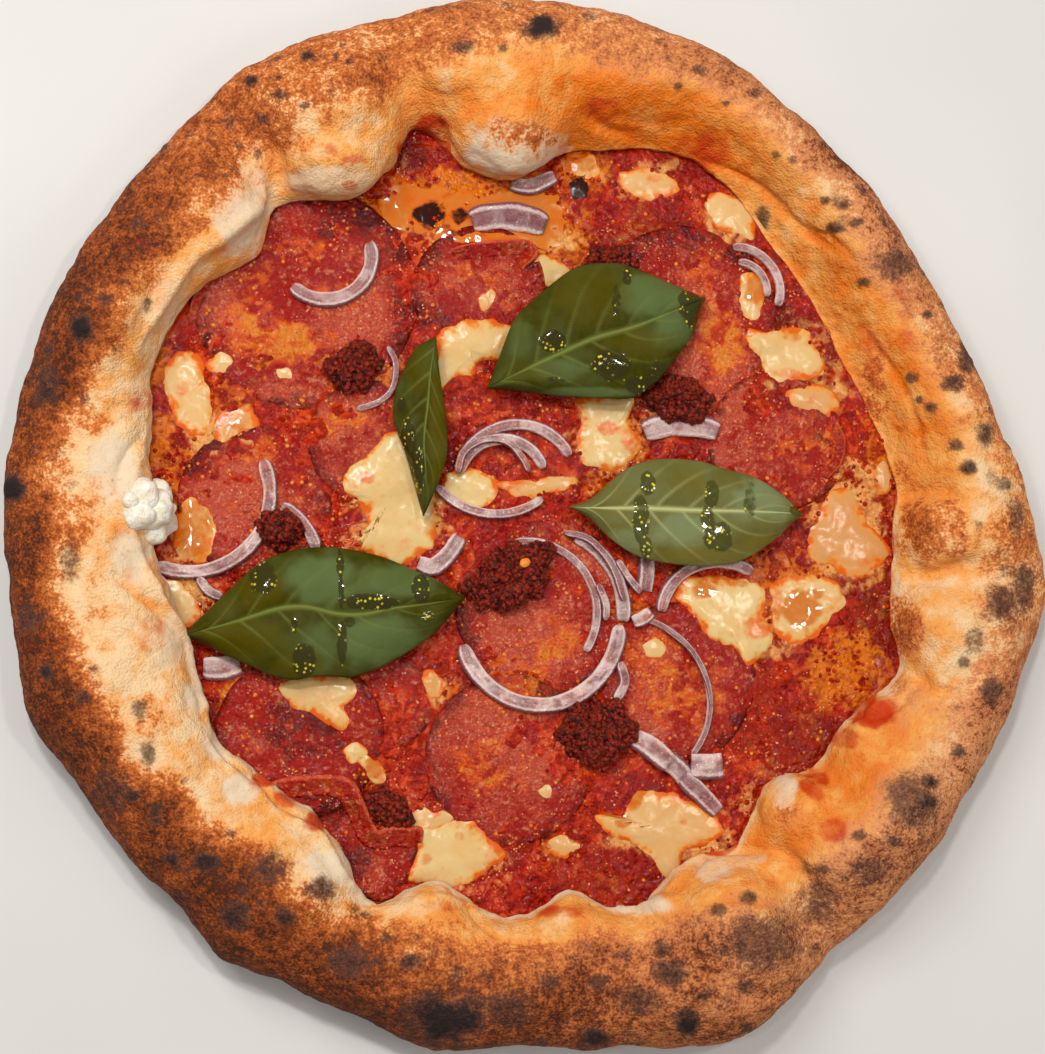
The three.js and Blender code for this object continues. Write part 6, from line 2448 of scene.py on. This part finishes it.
@dataclass
class BasilLayer:
    """The four basil leaves."""

    leaves: Sequence[BasilLeaf] = (
        BasilLeaf(
            "basil_tall_leaf", "basil_2",
            ((436, 336), (439, 369), (444, 401), (447, 432), (446, 460), (435, 491), (424, 516)),
            ((436, 337), (431, 370), (428, 405), (424, 440), (426, 475), (425, 500), (424, 516)),
            ((435, 337), (418, 346), (408, 360), (400, 380), (394, 398), (393, 416), (398, 434), (406, 456),
             (415, 488), (423, 516)), 13.0, 3.0, 0.6, (0.6, 3.6),
            oil=((402, 405, 6, 10, 0.6), (408, 450, 12, 42, 0.55), (418, 470, 8, 30, 0.6)),
            warm=((438, 430, 10, 70, 0.9), (420, 370, 16, 30, 0.6)), cool=((405, 390, 10, 20, 0.2),)),
        BasilLeaf(
            "basil_broad_leaf", "basil_1",
            ((487, 388), (499, 357), (514, 320), (530, 303), (548, 287), (577, 267), (609, 263), (632, 267),
             (672, 284), (706, 298)),
            ((487, 388), (520, 372), (556, 355), (594, 338), (636, 326), (676, 310), (706, 298)),
            ((487, 389), (520, 391), (560, 396), (600, 398), (632, 398), (650, 387), (664, 374), (679, 354),
             (692, 336), (700, 314), (706, 298)), 13.4, 3.6, 1.6, (3.0, 3.0),
            oil=((552, 342, 16, 13, 0.8), (612, 366, 24, 20, 0.75), (691, 305, 14, 26, 0.8),
                 (640, 385, 22, 12, 0.6), (627, 276, 6, 12, 0.7), (616, 300, 6, 22, 0.55),
                 (660, 372, 16, 14, 0.5), (555, 380, 14, 5, 0.5)),
            warm=((590, 295, 40, 34, 0.7), (640, 345, 40, 20, 0.6), (530, 372, 30, 14, 0.5)),
            cool=((520, 340, 14, 24, 0.4), (655, 295, 40, 26, 0.9), (560, 370, 30, 14, 0.7),
                  (672, 330, 22, 22, 0.8), (590, 392, 50, 6, 1.0))),
        BasilLeaf(
            "basil_upturned_leaf", "basil_3",
            ((570, 506), (590, 499), (611, 481), (632, 466), (659, 459), (699, 461), (725, 469), (754, 477),
             (779, 492), (803, 514)),
            ((570, 507), (606, 508), (643, 508), (695, 510), (741, 511), (788, 513), (803, 515)),
            ((570, 508), (590, 519), (611, 539), (638, 556), (674, 564), (708, 566), (737, 562), (758, 552),
             (779, 536), (792, 523), (803, 515)), 13.2, 2.4, 1.1, (2.0, 2.0), LeafSide.UNDER,
            oil=((648, 483, 9, 16, 0.75), (641, 520, 10, 30, 0.8), (646, 548, 8, 14, 0.7),
                 (712, 494, 9, 18, 0.7), (708, 518, 9, 14, 0.7), (718, 537, 17, 19, 0.85),
                 (797, 510, 8, 7, 0.9), (750, 500, 8, 30, 0.5)),
            warm=((620, 500, 30, 20, 0.5), (700, 556, 50, 10, 0.8), (760, 545, 20, 14, 0.7),
                  (690, 480, 20, 14, 0.5)),
            cool=((680, 530, 30, 20, 0.8), (760, 500, 30, 24, 0.8), (630, 540, 24, 12, 0.6))),
        BasilLeaf(
            "basil_low_leaf", "basil_4",
            ((184, 634), (201, 617), (225, 594), (248, 572), (269, 558), (294, 550), (324, 547), (353, 550),
             (383, 557), (414, 570), (441, 582), (464, 597)),
            ((184, 635), (214, 627), (248, 617), (277, 608), (305, 606), (336, 613), (362, 614), (393, 608),
             (425, 604), (464, 598)),
            ((184, 636), (204, 644), (225, 655), (248, 665), (273, 676), (294, 680), (311, 677), (330, 676),
             (351, 677), (378, 668), (403, 655), (429, 638), (446, 621), (464, 599)),
            13.4, 3.4, 1.6, (2.6, 3.0),
            oil=((262, 575, 18, 24, 0.62), (340, 564, 4, 18, 0.9), (341, 592, 4, 20, 0.8),
                 (372, 602, 32, 10, 0.8), (421, 588, 11, 18, 0.85), (342, 645, 6, 30, 0.75),
                 (304, 660, 14, 20, 0.75), (294, 625, 5, 12, 0.6), (350, 622, 9, 7, 0.6),
                 (428, 617, 9, 8, 0.5)),
            warm=((240, 640, 50, 26, 0.8), (260, 590, 30, 26, 0.7), (300, 665, 30, 16, 0.7),
                  (225, 610, 24, 20, 0.5)),
            cool=((320, 580, 40, 30, 0.9), (400, 580, 50, 20, 0.8), (380, 640, 50, 30, 0.9),
                  (320, 650, 20, 30, 0.6))),
    )

    def build(self, bed: Bed, finishes: dict[LeafSide, bpy.types.Material]) -> None:
        """Lay every leaf."""
        for number, leaf in enumerate(self.leaves):
            settle(leaf.build(bed, finishes[leaf.side], Seed.BASIL + number), "basil", leaf.node)


# ---------------------------------------------------------------------------------------------------------
# Stage
# ---------------------------------------------------------------------------------------------------------


@dataclass
class Studio:
    """The pale floor and the soft light."""

    floor_reach: float = 2500.0
    floor_level: float = -0.3
    sky: Colour = (1.0, 0.985, 0.96, 1.0)
    sky_strength: float = 0.26
    # Name, place, size, watts, colour, and whether wet things mirror it.
    lamps: Sequence[tuple] = (
        ("key_window", (-420, 460, 760), 420, 5.0, (1.0, 0.98, 0.95), False),
        ("fill_window", (620, -300, 700), 500, 1.7, (1.0, 0.97, 0.92), False),
        ("spark_one", (-160, 330, 900), 80, 2.7, (1.0, 1.0, 1.0), True),
        ("spark_two", (260, 120, 950), 66, 1.6, (1.0, 0.97, 0.9), True),
        ("spark_three", (-330, -60, 880), 60, 0.7, (1.0, 1.0, 1.0), True))

    def build(self, floor_finish: bpy.types.Material) -> None:
        """Make the floor, the lights and the sky.

        Args:
            floor_finish: the floor's finish.
        """
        signs = ((-1, -1), (1, -1), (1, 1), (-1, 1))
        corners = [(x * self.floor_reach, y * self.floor_reach, self.floor_level) for x, y in signs]
        floor = mesh_piece("floor", np.array(corners), [[0, 1, 2, 3]], finish=floor_finish)
        scene = bpy.context.scene
        scene.view_settings.view_transform = "Standard"
        scene.view_settings.look = "None"
        world = bpy.data.worlds.new("studio_sky")
        world.use_nodes = True
        background = world.node_tree.nodes["Background"]
        background.inputs[0].default_value = self.sky
        background.inputs[1].default_value = self.sky_strength
        scene.world = world
        for lamp in self.lamps:
            self.hang(*lamp)

    @staticmethod
    def hang(name: str, place: tuple[float, float, float], size: float, power: float,
             colour: tuple[float, float, float], mirrored: bool) -> None:
        """Hang one square lamp that looks at the pizza.

        Args:
            name: its name.
            place: where it hangs, in millimetres.
            size: the length of its side.
            power: its strength in watts.
            colour: the colour of its light.
            mirrored: whether wet things mirror it.
        """
        data = bpy.data.lights.new(name, "AREA")
        data.energy, data.size, data.color = power, size * MM, colour
        lamp = bpy.data.objects.new(name, data)
        lamp.location = Vector(place) * MM
        lamp.visible_glossy = mirrored
        lamp.rotation_mode = "QUATERNION"
        lamp.rotation_quaternion = (-Vector(place)).to_track_quat("-Z", "Y")
        bpy.context.scene.collection.objects.link(lamp)


def settle(piece: bpy.types.Object, slot: str, *nodes: str) -> None:
    """Give a finished piece its body and hide the frame's nodes that it stands for.

    Args:
        piece: the piece.
        slot: not used.
        *nodes: the frame's nodes that it replaces.
    """
    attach(piece, BODY)
    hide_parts(*nodes)
    LOG.info("%s: %d faces", piece.name, len(piece.data.polygons))


def main() -> None:
    """Build the pizza from the crust up."""
    logging.basicConfig(level=logging.INFO, format="%(name)s: %(message)s")
    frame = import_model()
    LOG.info("frame with %d nodes", len(frame["nodes"]))
    CAMERA.build()
    effects = Effects()
    Studio().build(PaleFloor().make(effects))
    crust = PuffedCrust()
    rim = crust.build(BakedDough().make(effects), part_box("crust"))
    settle(rim, "dough", "crust")
    bed = Bed()
    sauce = TomatoSauce()
    sauce.first_bed(bed)
    meat = CuredSlice().make(effects)
    tomato = CookedSauce().make(effects)
    cheese = MeltedCheese().make(effects)
    bed.layer = "salami"
    covered = SalamiLayer().build(bed, meat)
    bed.layer = "sauce"
    settle(sauce.build(bed, covered, crust, tomato), "sauce", "tomato_sauce")
    bed.layer = "fold"
    FoldLayer().build(bed, meat)
    bed.layer = "cheese"
    CheeseLayer().build(bed, cheese)
    settle(ScorchedDots().build(bed, cheese), "mozzarella")
    bed.layer = "topping"
    tree = CrumbTree()
    Sprinkles().build(bed, tree, effects)
    paste = SpicyPaste().make(effects)
    OnionLayer().build(bed, OnionFlesh().make(effects))
    PasteClumps().build(bed, tree, paste, ClearOil().make(effects))
    settle(RicottaCurd().build(FreshCurd().make(effects), rim), "ricotta", "ricotta_curd")
    BasilLayer().build(bed, {side: BasilLeafFinish(side).make(effects) for side in LeafSide})


if __name__ == "__main__":
    main()
